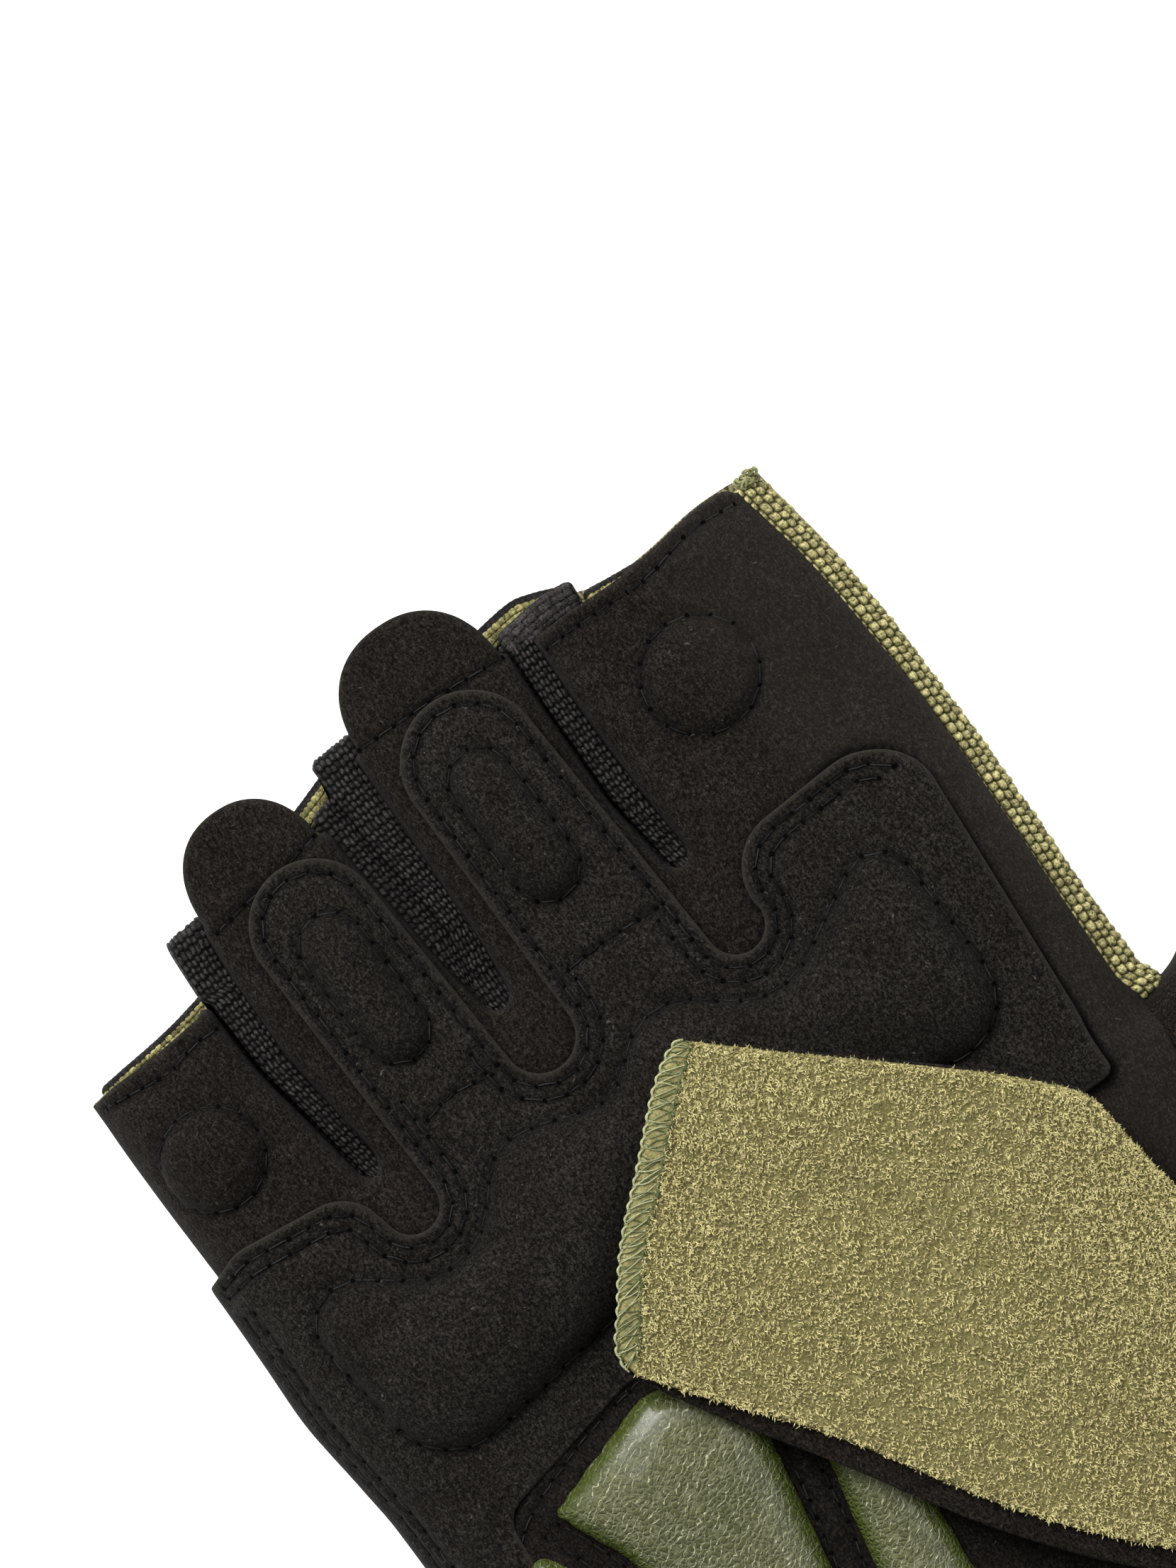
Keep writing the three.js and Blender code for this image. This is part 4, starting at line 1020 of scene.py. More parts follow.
overlay_layer = Sewn(OVERLAY_HIGH, overlay_holes,
                     [(heart_swell, HEART_RISE), (middle_swell, OVAL_RISE), (ring_swell, OVAL_RISE)], 0.36)
palm_layer = Sewn(0.0, palm_holes, [(index_swell, INDEX_DISC_RISE), (little_swell, LITTLE_DISC_RISE)])
cuff_layer = Sewn(CUFF_HIGH, cuff_holes, [], 0.55)


# The palm


def slit_outline(name, top):
    """Down a slit's index side, round its end and up its little side, in the pattern."""
    end, rows = SLITS[name]
    left, right = slit_sides(name)
    last = rows[-1][0]
    down = np.linspace(top[0], last, 24)
    up = np.linspace(last, top[1], 24)
    middle, half = (rows[-1][1] + rows[-1][2]) / 2, (rows[-1][2] - rows[-1][1]) / 2
    turns = np.linspace(0, math.pi, 9)[1:-1]
    nose = np.stack([middle + half * np.cos(turns), last - (last - end) * np.sin(turns)], axis=1)
    return np.vstack([np.stack([right(-down), down], 1), nose, np.stack([left(-up), up], 1)])


def hand_outline(ends, tabs):
    """Outline of a whole hand panel in the pattern, without its two sides."""
    def end(name):
        line = rounded(ends[name], 1.0)
        if tabs and name in TABS:
            x, y, half, length = TABS[name]
            turns = np.linspace(0, math.pi, 40)
            bow = np.stack([x + half * np.sign(np.cos(turns)) * np.abs(np.cos(turns)) ** 0.9,
                            y + length * np.sin(turns) ** 0.9], axis=1)
            return np.vstack([line[:1], bow, line[-1:]])
        return line
    index, middle, ring, little = (end(name) for name in ("index", "middle", "ring", "little"))
    parts = [index]
    for slit, before, after in (("index_middle", index, middle), ("middle_ring", middle, ring),
                                ("ring_little", ring, little)):
        parts += [slit_outline(slit, (before[-1][1], after[0][1]))[1:-1], after]
    return np.vstack(parts)


fingers = flatten(hand_outline(FINGER_ENDS, True))
heights = np.linspace(WRIST, 17, 150)
palm_outline = spaced(np.vstack([
    np.stack([right_rim(heights), heights], 1), fingers[fingers[:, 0] < 34],
    np.stack([left_rim(heights[::-1]), heights[::-1]], 1)[heights[::-1] < 2.1]]), 0.6, True)

net = cloth_net(palm_outline, PALM_NET)
flat = np.array([v.co[:2] for v in net.verts])
distance = from_outline(flat, palm_outline)[0]
at_rim = (flat[:, 0] < left_rim(flat[:, 1]) + 1) | (flat[:, 0] > right_rim(flat[:, 1]) - 1)
edge_drop = np.where(at_rim, 0, 0.30 * np.clip(1 - distance / 0.9, 0, 1) ** 2)
to_line = palm_layer.to_line(flat)
# painted shadow of the overlay's edge on the palm, stronger on its index side
overlay_edge_shadow = np.exp(-((from_outline(flat, overlay_outline)[0] + 0.35) / 0.5) ** 2)
overlay_edge_shadow *= 0.3 + 0.9 * smooth_step((flat[:, 0] - 18) / 6)
# painted shade at the stitches, the discs' feet and beside the overlay; paler at its cut edge and towards its
# index side
palm = into_mesh(
    "palm", net, palm_face(flat, palm_layer.out(flat) - edge_drop),
    {"painted_shade": np.maximum(0.85 * np.exp(-(to_line / 0.42) ** 2),
                        0.24 * foot_of_pads(flat, [index_disc, little_disc], 1.5)) + overlay_edge_shadow,
     "pale_and_highlight": (np.where(at_rim, 0, 0.30 * (distance < 0.2))
              + 0.22 * smooth_step((flat[:, 0] - 15) / 11) * (1 - np.clip(overlay_edge_shadow, 0, 1)))}, flat)
palm.data.materials.append(PALM_SUEDE)
thicken(palm, SUEDE)
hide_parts("palm_panel", "index_pad", "little_pad")


# The overlay

RIM_OUT = (0.0, 0.14, 0.16, 0.05)       # how far each ring of the cut edge stands out
RIM_LOW = (0.10, 0.30, 0.75, 1.50)      # and how far it lies under the overlay's face

net = cloth_net(overlay_outline, OVERLAY_NET)
ring = turn_down(net, 3)
flat = np.array([v.co[:2] for v in net.verts])
distance, _, outward = from_outline(flat, overlay_outline)
cuff_outline = flatten(belt(CUFF_EDGE))
beside_heel = np.exp(-(from_outline(flat, cuff_outline)[0] / 0.9) ** 2)
drop = np.where(ring == 0, 0.12 * np.clip(1 - distance / 0.9, 0, 1) ** 2, np.take(RIM_LOW, ring))
drop = drop * (1 - 0.88 * beside_heel) + 0.18 * beside_heel
to_line = overlay_layer.to_line(flat)
out = overlay_layer.out(flat)
flat_out = flat + outward * (np.take(RIM_OUT, ring) * (1 + beside_heel))[:, None]
# painted shade at the stitches and the pads' feet; the cut edge paler, partly a painted highlight, though not
# beside the heel panel
overlay = into_mesh(
    "palm_overlay_cloth", net, palm_face(flat_out, out - drop),
    {"painted_shade": np.maximum(0.85 * np.exp(-(to_line / 0.40) ** 2),
                        0.32 * foot_of_pads(flat, [heart_outline, middle_oval, ring_oval], 2.1)),
     "pale_and_highlight": np.where(ring > 0, 0.9, 0.55 * np.clip(1 - distance / 0.35, 0, 1)) * (1 - beside_heel)}, flat)
overlay.data.materials.append(OVERLAY_SUEDE)
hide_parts("palm_overlay", "palm_pad", "middle_pad", "ring_pad")


# The back of the hand


def back_outline():
    """Outline of the back of the hand, with its rolled sides laid out flat."""
    fingers = hand_outline(BACK_ENDS, False)
    ys = np.linspace(WRIST, 18, 100)
    little, _, index, _, _, rim = section(ys)
    right = index - BACK_ROLL + (BACK_ROLL + rim) / 2 * math.pi / 2
    left = little + BACK_ROLL - (BACK_ROLL + BACK_SEAM) / 2 * math.pi / 2
    fingers = fingers[fingers[:, 0] < 33]
    return spaced(np.vstack([np.stack([right, ys], 1), fingers,
                             np.stack([left, ys], 1)[::-1][ys[::-1] < 3.5]]), 1.0, True)


outline = back_outline()
net = cloth_net(outline, BACK_NET)
flat = np.array([v.co[:2] for v in net.verts])
back = into_mesh("back_of_hand", net, back_face(flat, 0.0), None, flat, flip=True)
back.data.materials.append(GREEN_KNIT)
thicken(back, KNIT)
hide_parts("back_panel")


# Knit beads


def bead_height(across, along, seed, stagger=0.36):
    """Beads of a ribbed knit: across and along count beads; height, tone and cover are from 0 to 1."""
    column = np.floor(across)
    slid = along + stagger * (column % 2) + 0.2 * np.abs(across - column - 0.5)
    row = np.floor(slid)
    s, t = across - column - 0.5, slid - row - 0.5
    dome = np.clip(1 - np.abs(2 * s) ** 2.6, 0, 1) * np.clip(1 - np.abs(2 * t) ** 2.6, 0, 1)
    table = np.random.default_rng(seed).uniform(0, 1, (64, 256))
    tone = table[column.astype(int) % 64, row.astype(int) % 256]
    return np.sqrt(dome) * (0.85 + 0.3 * tone), tone, dome


BEAD_WIDE, BEAD_LONG = 1.12, 1.2
STRIP_TOP, STRIP_END = 17.8, -56.4
STRIP_START = 96              # degrees round from level where the strip leaves the palm
STRIP_SWEEP = 126             # and how many degrees on it tucks under the back
STRIP_ROUND = 3.25            # radius that its beads are laid out by
loop_drift = ripple(61, 1.7)


def index_strip(share_across, share_along):
    """The ribbed strip that rounds the index side, bead by bead."""
    y = STRIP_TOP + (STRIP_END - STRIP_TOP) * share_along
    angle = np.radians(STRIP_START - share_across * STRIP_SWEEP)
    index = section(y)[1]
    around = share_across * STRIP_SWEEP / 180 * math.pi * STRIP_ROUND
    loose = 0.2 * loop_drift(np.stack([around, y], 1))
    height, tone, dome = bead_height(around / BEAD_WIDE, (STRIP_TOP - y) / BEAD_LONG + loose, 5, 0.3)
    end = 1 - 0.35 * (1 - arch(np.minimum(STRIP_TOP - y, y - STRIP_END) / 1.6))
    radius = (2.86 + 0.74 * height + 0.10 * small_folds(np.stack([around, y], 1))) * end
    x = index - 0.35 + radius * np.cos(angle)
    z = 3.6 + (radius + 0.3) * np.sin(angle)
    # dark between the beads, a painted shade; the tone differs from bead to bead
    shade = (0.55 + 0.45 * tone) * np.clip(1.8 * dome - 0.25, 0, 1)
    return np.stack([x, y, z], 1), np.stack([around, y], 1), {"shade": shade}


strip = sheet_grid("index_side_strip", 480, 44, index_strip, flip=True)
strip.data.materials.append(GREEN_BEAD)
thicken(strip, 1.2)
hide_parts("index_strip")


# Fourchettes

# For each fourchette: width of its dark gap, share of its net that lies in the gap's wall, y of its top,
# y of that wall's top at the fold and at the neighbouring finger, depth of the fold below the palm's face,
# and how much wider its head is beside a tab and on its free side
FOURCHETTES = {
    "ring_little": (0.15, 0.12, 12.7, 3.4, 3.4, 5.0, 1.3, 0.9),
    "middle_ring": (2.7, 0.36, 19.9, 16.0, 14.8, 1.6, 1.5, 0),
    "index_middle": (0.15, 0.12, 17.6, 18.6, 18.6, 5.0, 0, 0),
}
LOOP_WIDE, LOOP_LONG = 0.80, 0.98


def fourchette(name):
    """A folded fourchette: the wall of its gap, its fold and its beaded face up to the next finger."""
    end, rows = SLITS[name]
    left, right = slit_sides(name)
    gap_width, wall_share, top, fold_top, wall_top, depth, beside_tab, free = FOURCHETTES[name]
    bottom = end - 0.9
    tuck = SUEDE + 0.25

    def place(across, down):
        in_wall = across < wall_share
        s = np.clip(across / wall_share, 0, 1)
        turn = (np.clip(across, wall_share, 1) - wall_share) / (1 - wall_share)
        own_top = np.where(in_wall, wall_top + (fold_top - wall_top) * s,
                           top + 0.5 * turn - 0.8 * (1 - arch(turn / 0.2)))
        y = own_top + (bottom - own_top) * down
        nose = smooth_step((rows[-1][0] - y) / (rows[-1][0] - end))
        taper = (rows[-1][2] - rows[-1][1]) / 6 * nose
        rim = section(y)[3] - SLIT_DIP * smooth_step((y - end + 6) / 10) - tuck
        narrow = smooth_step((end + 12 - y) / 12)
        gap = (left(-y) + np.maximum(gap_width * (1 - 0.95 * narrow), 0.2) + taper
               - free * smooth_step((y - wall_top) / 2))
        high = right(-y) + 0.5 - taper * 0.5 + beside_tab * smooth_step((y - top + 4) / 2)
        foot = np.maximum(rim - depth * (1 - 0.6 * narrow), 3.0)
        crown = rim - 0.2 + 0.9 * (1 - narrow) * (1 - turn ** 3)
        x = np.where(in_wall, left(-y) - 0.6 + (gap - left(-y) + 0.6) * s ** 0.7, gap + (high - gap) * turn)
        z = np.where(in_wall, rim + (foot - rim) * s, foot + (crown - foot) * arch(turn / 0.16))
        z = z - 2.2 * (1 - arch((own_top - y) / 1.2))
        around = np.where(in_wall, s * (gap_width + 1.4) - gap_width - 1.4, turn * (high - gap + 2.0))
        spot = np.stack([around + 3 * len(name), y], 1)
        height, tone, dome = bead_height((around + 0.14 * loop_drift(3 * spot)) / LOOP_WIDE,
                                         (y + 0.2 * loop_drift(2.3 * spot + 9)) / LOOP_LONG + 40, 13, 0.2)
        z = z + 0.48 * height
        x = x + 0.25 * (height - 0.5) * smooth_step((turn - 0.8) / 0.2)
        y = y + 0.30 * (height - 0.5) * np.clip(1 - (own_top - y) / 0.9, 0, 1)
        # dark between the beads and in the slit's wall, a painted shade; the tone differs from bead to bead
        shade = (0.35 + 0.65 * tone) * np.clip(2.4 * dome ** 1.7 - 0.6, 0, 1) * np.where(in_wall, 0.85, 1)
        return np.stack([x, y, z], axis=1), np.stack([around, y], axis=1), {"shade": shade}

    item = sheet_grid("fourchette_knit_" + name, 210, int(42 / (1 - wall_share)), place, flip=True)
    item.data.materials.append(BLACK_BEAD)
    thicken(item, 0.7)
    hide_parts("fourchette_" + name)
    return item


fourchettes = [fourchette(name) for name in SLITS]

# y where each fourchette's lower fold starts
BASE_TOPS = {"ring_little": 4.4, "middle_ring": 16.4, "index_middle": 19.4}


def fourchette_base(name):
    """The lower fold of a fourchette, which closes the slit in the back of the hand."""
    bottom = SLITS[name][0] - 1.5
    left, right = slit_sides(name)

    def place(across, down):
        y = BASE_TOPS[name] + (bottom - BASE_TOPS[name]) * down
        x = left(-y) - 1.2 + (right(-y) - left(-y) + 2.4) * across
        height, tone, dome = bead_height(x / LOOP_WIDE, y / LOOP_LONG + 40, 17, 0.2)
        # dark between the beads, a painted shade; the tone differs from bead to bead
        shade = (0.35 + 0.65 * tone) * np.clip(2.2 * dome - 0.6, 0, 1)
        return np.stack([x, y, 1.2 + 0.2 * height], 1), np.stack([x, y], 1), {"shade": shade}

    item = sheet_grid("fourchette_base_" + name, 110, 20, place, flip=True)
    item.data.materials.append(BLACK_BEAD)
    thicken(item, 0.6)
    return item


fourchettes += [fourchette_base(name) for name in SLITS]


def hem_band(name, path, width, thick, level, material, wide, long, rise, seed):
    """A narrow folded band of knit along a line in the pattern.

    It has a width, a thickness and the height it lies at; its beads are so wide, so long and rise so far.
    """
    line = rounded(path, 0.25)
    along = np.gradient(line, axis=0)
    along /= np.linalg.norm(along, axis=1)[:, None]
    side = np.stack([-along[:, 1], along[:, 0]], 1)
    length = 0.25 * len(line)

    def place(across, down):
        k = down * (len(line) - 1)
        spot = np.stack([np.interp(k, np.arange(len(line)), line[:, i]) for i in range(2)], 1)
        out = np.stack([np.interp(k, np.arange(len(line)), side[:, i]) for i in range(2)], 1)
        turn = math.pi * across
        ends = arch(np.minimum(down, 1 - down) * length / 0.6)
        height, tone, dome = bead_height(across * width * 1.3 / wide, down * length / long, seed, 0.12)
        reach = width / 2 - 0.35 * (1 - ends)
        flat = spot - out * (np.cos(turn) * (reach + 0.12 * height))[:, None]
        z = level + (thick * ends + rise * height) * np.clip(np.sin(turn), 0, 1) ** 0.45
        # dark between the beads, a painted shade; the tone differs from bead to bead
        shade = (0.35 + 0.65 * tone) * np.clip(2.0 * dome - 0.5, 0, 1)
        return np.column_stack([flat, z]), np.stack([across, down], 1), {"shade": shade}

    item = sheet_grid(name, max(40, int(length / 0.11)), max(12, int(width * 1.3 / 0.10)), place)
    item.data.materials.append(material)
    thicken(item, 0.4)
    return item


# The folded head of the index fourchette lies along the palm's end; the back's hem shows past it
HEAD_LINE = [(1.5, 17.9), (4.5, 18.3), (8, 18.6), (11.1, 18.4)]
hems = [hem_band("fourchette_head_index", HEAD_LINE, 2.9, 1.1, 5.9, BLACK_BEAD, 0.68, 0.82, 0.34, 3)]
# Widths of each green hem and of the black edge along it
HEM_WIDTHS = {"index": (1.7, 0.35), "middle": (1.7, 0.6), "ring": (1.7, 0.6), "little": (1.2, 0.6)}
for name, line in BACK_HEMS.items():
    line = np.array(line, float)
    hem_wide, edge_wide = HEM_WIDTHS[name]
    hems.append(hem_band("back_hem_" + name, line - (0, 0.35 + hem_wide / 2), hem_wide, 0.6, 1.35, HEM_BEAD,
                         0.62, 0.8, 0.28, 6))
    hems.append(hem_band("back_edge_" + name, line - (0, 0.2), edge_wide, 0.5, 1.3, BLACK_EDGE,
                         0.6, 0.7, 0.14, 7))


# Heel panel and leather pads

HEEL_OUT = (0.0, 0.3, 0.6)     # how far each ring of its cut edge stands out
HEEL_LOW = (0.0, 0.08, 0.30)   # and how far it lies under the panel's face

net = cloth_net(cuff_outline, HEEL_NET)
ring = turn_down(net, 2)
flat = np.array([v.co[:2] for v in net.verts])
distance, _, outward = from_outline(flat, cuff_outline)
to_line = cuff_layer.to_line(flat)
drop = np.where(ring == 0, 0.05 * np.clip(1 - distance / 1.2, 0, 1) ** 2, np.take(HEEL_LOW, ring))
flat_out = flat + outward * np.take(HEEL_OUT, ring)[:, None]
# painted shade along the heel panel's stitches
cuff = into_mesh(
    "heel_panel", net, palm_face(flat_out, cuff_layer.out(flat) - drop),
    {"painted_shade": 0.6 * np.exp(-(to_line / 0.5) ** 2), "pale_and_highlight": np.zeros(len(flat))}, flat)
cuff.data.materials.append(HEEL_SUEDE)
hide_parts("cuff_panel")


scallops = ripple(23, 1.1)


def leather_pad(name, rise, edge):
    """A swollen leather pad on the heel panel, with a slightly scalloped border."""
    outline = flatten(belt(edge, 0.0, 0.4))
    swell = pillow(outline, 0.58, 0.5)
    uneven = ripple(21, 5)
    net = cloth_net(outline, LEATHER_NET)
    ring = turn_down(net, 1)
    flat = np.array([v.co[:2] for v in net.verts])
    distance, _, outward = from_outline(flat, outline)
    shape = 0.5 * (1 - np.exp(-np.maximum(distance, 0) / 1.9)) + 0.5 * np.clip(swell(flat), 0, 1)
    shape = np.where(ring > 0, 0, shape)
    soft = 0.16 * uneven(flat) * np.clip(distance / 3, 0, 1)
    out = CUFF_HIGH + relief(flat) + 0.25 + (rise - 0.1) * shape + soft
    out = np.where(ring > 0, CUFF_HIGH + relief(flat) - 0.3, out)
    scallop = 0.12 * scallops(flat) * np.clip(1 - distance / 0.6, 0, 1)
    # edge: 1 along the border, where shade is painted onto the pad's steep sides
    item = into_mesh("leather_pad_" + name, net, palm_face(flat + outward * scallop[:, None], out),
                     {"edge": smooth_step((2.6 - distance) / 2.0)}, flat)
    item.data.materials.append(GREEN_LEATHER)
    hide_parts("cuff_pad_" + name)
    return item


leather_pads = [leather_pad(name, rise, edge) for name, (rise, edge) in LEATHER.items()]


# The strap

row_numbers = np.arange(len(STRAP_ROWS))
strap_columns = [smooth_curve(row_numbers, STRAP_ROWS[:, k]) for k in range(6)]
strap_waves = ripple(31, 9, (-20, -20), (140, 60))


def strap_place(row, share, height):
    """A place on the strap: row number along it, share across it, height above its underside."""
    ahead = np.minimum(row, 0)
    lx, ly, lz, ux, uy, uz = (column(row) + ahead * (STRAP_ROWS[1, k] - STRAP_ROWS[0, k])
                              for k, column in enumerate(strap_columns))
    crown = STRAP_CROWN * np.sin(math.pi * np.clip(share, 0, 1))
    bend = np.interp(row, row_numbers, STRAP_BEND)
    flat = np.stack([row * 9, share * 38], axis=1)
    sag = 0.35 * strap_waves(flat)
    x = lx + (ux - lx) * share + bend * height
    return np.stack([x, ly + (uy - ly) * share, lz + (uz - lz) * share + crown + sag + height], axis=1), flat


ROW_LENGTH = 11.5            # millimetres from the strap's free end to its second row
SERGE_DEPTH = 2.8            # how far in the overlocked end reaches
STRAP_WIDE = 38.1
# How far the free end bows out past its first row, at shares of the strap's width
FREE_END = np.array([
    (0, -2.0), (0.010, -1.2), (0.024, -0.4), (0.042, 0.3), (0.076, 0.86), (0.156, 1.27), (0.247, 1.86),
    (0.34, 2.33), (0.43, 2.42), (0.6, 2.25), (0.8, 2.24), (0.89, 1.9), (0.952, 1.4), (0.985, 0.8), (1, 0)])
# The same bow without its rounded corners, for the inner edge of the overlock
END_BOW = np.array([(0, 0.5), (0.156, 1.23), (0.247, 1.86), (0.34, 2.33), (0.43, 2.42), (0.6, 2.25),
                    (0.8, 2.24), (1, 1.7)])
free_end_out = smooth_curve(FREE_END[:, 0], FREE_END[:, 1])
end_bow_out = smooth_curve(END_BOW[:, 0], END_BOW[:, 1])


def end_row(share):
    """Row number where the strap starts at a share of its width."""
    return -free_end_out(share) / ROW_LENGTH


def serge_row(share):
    """Row number where the overlocked border of the free end stops."""
    return (SERGE_DEPTH - end_bow_out(share)) / ROW_LENGTH


def toward_edges(across):
    """The same share with its steps closer together near both edges."""
    return across - 0.11 * np.sin(2 * math.pi * across)


def strap_top(across, along):
    """The strap's cloth under the plush, from its free end to its root."""
    across = toward_edges(across)
    start = end_row(across) + 0.02
    row = start + (row_numbers[-1] - start) * along
    edge = np.minimum(across, 1 - across)
    places, flat = strap_place(row, across, STRAP_WALL - 0.25 * np.clip(1 - edge * 30, 0, 1) ** 2)
    return places, flat, {"painted_shade": np.zeros(len(row)), "pale_and_highlight": np.zeros(len(row))}


strap = sheet_grid("wrist_strap", 150, 60, strap_top, flip=True)
strap.data.materials.append(PALM_SUEDE)
thicken(strap, STRAP_WALL - 0.1)
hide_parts("strap_body")

LAST_PLUSH = 7.0              # row number where the plush ends


def plush_share(row, share):
    """Share across the plush to share across the strap."""
    width = np.hypot(strap_columns[3](row) - strap_columns[0](row),
                     strap_columns[4](row) - strap_columns[1](row))
    bare = 0.5 + (PLUSH_LOW - 0.5) * smooth_step(row / 2.2)
    return (bare + (width - bare - PLUSH_HIGH) * share) / width


tufts = ripple(44, 0.27, (-20, -20), (140, 60))
curl = ripple(45, 0.6, (-20, -20), (140, 60))
warm = ripple(46, 9, (-20, -20), (140, 60))


def plush_top(across, along):
    """The ground that the pile stands in, darker among the pile as a painted shade of its pits, and paler
    where the overlock binds it.
    """
    across = toward_edges(across)
    start = end_row(across)
    row = start + (LAST_PLUSH - start) * along
    edge = np.minimum(np.minimum(across, 1 - across) * 36, (row - start) * ROW_LENGTH)
    height = PLUSH_SEAT + 0.75 * arch(edge / 0.9)
    places, flat = strap_place(row, plush_share(row, across), height)
    bound = smooth_step((serge_row(across) - row) * ROW_LENGTH / 0.4)
    # painted shade among the pile, less of it where the overlock binds the ground
    return places, flat, {"shade": 0.50 + 0.25 * tufts(flat) + 0.25 * bound}


plush = sheet_grid("plush_ground", 140, 66, plush_top, flip=True)
plush.data.materials.append(PLUSH_GROUND)
thicken(plush, 0.8)
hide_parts("strap_plush")

FIBRES = 82000                # tried; many that fall between the tufts are left out
MOST_FIBRES = 63500           # kept at most
FIBRE_LONG = 0.66
FIBRE_HALF = 0.066            # half a fibre's width


def pile():
    """Short curled fibres of the pile, standing in small tufts."""
    rng = np.random.default_rng(77)
    row = LAST_PLUSH * rng.uniform(0, 1, FIBRES)
    across = rng.uniform(0, 1, FIBRES)
    at_edge = rng.uniform(0, 1, FIBRES) < 0.05
    across[at_edge] = np.where(across[at_edge] < 0.5, 0.012, 0.988) + rng.normal(0, 0.006, at_edge.sum())
    across = np.clip(across, 0, 1)
    keep = row > serge_row(across) - 0.01
    row, across = row[keep], across[keep]
    clump = tufts(strap_place(row, plush_share(row, across), row)[1])
    keep = rng.uniform(0, 1, len(row)) < 0.5 + 0.5 * smooth_step((clump + 0.45) / 0.5)
    row, across = row[keep][:MOST_FIBRES], across[keep][:MOST_FIBRES]
    count = len(row)
    edge = np.minimum(across, 1 - across) * 36
    root, flat = strap_place(row, plush_share(row, across), PLUSH_SEAT + 0.15 + 0.55 * arch(edge / 0.9))
    clump = tufts(flat)
    turn = 5 * curl(flat) + rng.normal(0, 1.2, count)
    lean = np.clip(0.8 + rng.normal(0, 0.35, count), 0.1, 1.5)
    length = FIBRE_LONG + 0.16 * clump + rng.normal(0, 0.08, count)
    heading = np.stack([np.cos(turn), np.sin(turn), np.zeros(count)], 1)
    middle = root + heading * (0.30 * length * np.sin(lean))[:, None]
    middle[:, 2] += 0.6 * length
    tip = middle + heading * (0.5 * length * np.sin(np.clip(lean * 1.3, 0, 1.5)))[:, None]
    tip[:, 2] += 0.28 * length * np.cos(lean)
    side = np.stack([-np.sin(turn), np.cos(turn), np.zeros(count)], 1) * FIBRE_HALF
    places = np.stack([root - side, root + side, middle + side, middle - side, tip], axis=1).reshape(-1, 3)
    base = np.arange(count)[:, None] * 5
    faces = (base + [0, 1, 2, 3]).tolist() + (base + [3, 2, 4]).tolist()
    tone = np.clip(0.76 + 0.16 * clump + rng.normal(0, 0.13, count) - 0.05 * warm(flat), 0, 1)
    # each fibre darker at its root, a painted shade deep in the pile; its tone differs from fibre to fibre
    shade = tone[:, None] * np.array([0.25, 0.25, 0.85, 0.85, 1.0])
    return from_arrays("plush_pile", places, faces, {"shade": shade.ravel()})


fibres = pile()
fibres.data.materials.append(PLUSH_PILE)


def end_line(inset, count):
    """Row numbers and shares along the strap's free end, a distance in from it, round both corners."""
    share = np.linspace(0.012, 0.995, 600)
    line = np.stack([end_row(share) * ROW_LENGTH, share * STRAP_WIDE], 1)
    along = np.gradient(line, axis=0)
    along /= np.linalg.norm(along, axis=1)[:, None]
    line = spaced(line + inset * np.stack([along[:, 1], -along[:, 0]], 1), 0.05)
    pick = line[np.round(np.linspace(0, len(line) - 1, count)).astype(int)]
    return pick[:, 0] / ROW_LENGTH, pick[:, 1] / STRAP_WIDE


# Four threads of each overlock loop: where they start in it, how far they slant and whether they lie low
THREAD_STARTS = (0.1, 0.3, 0.55, 0.8)
THREAD_SLANTS = (0.046, 0.020, -0.020, 0.036)
THREAD_LOW = (0, 0, 1, 1)
THREAD_RADIUS, CORD_RADIUS, CHAIN_RADIUS = 0.075, 0.11, 0.16


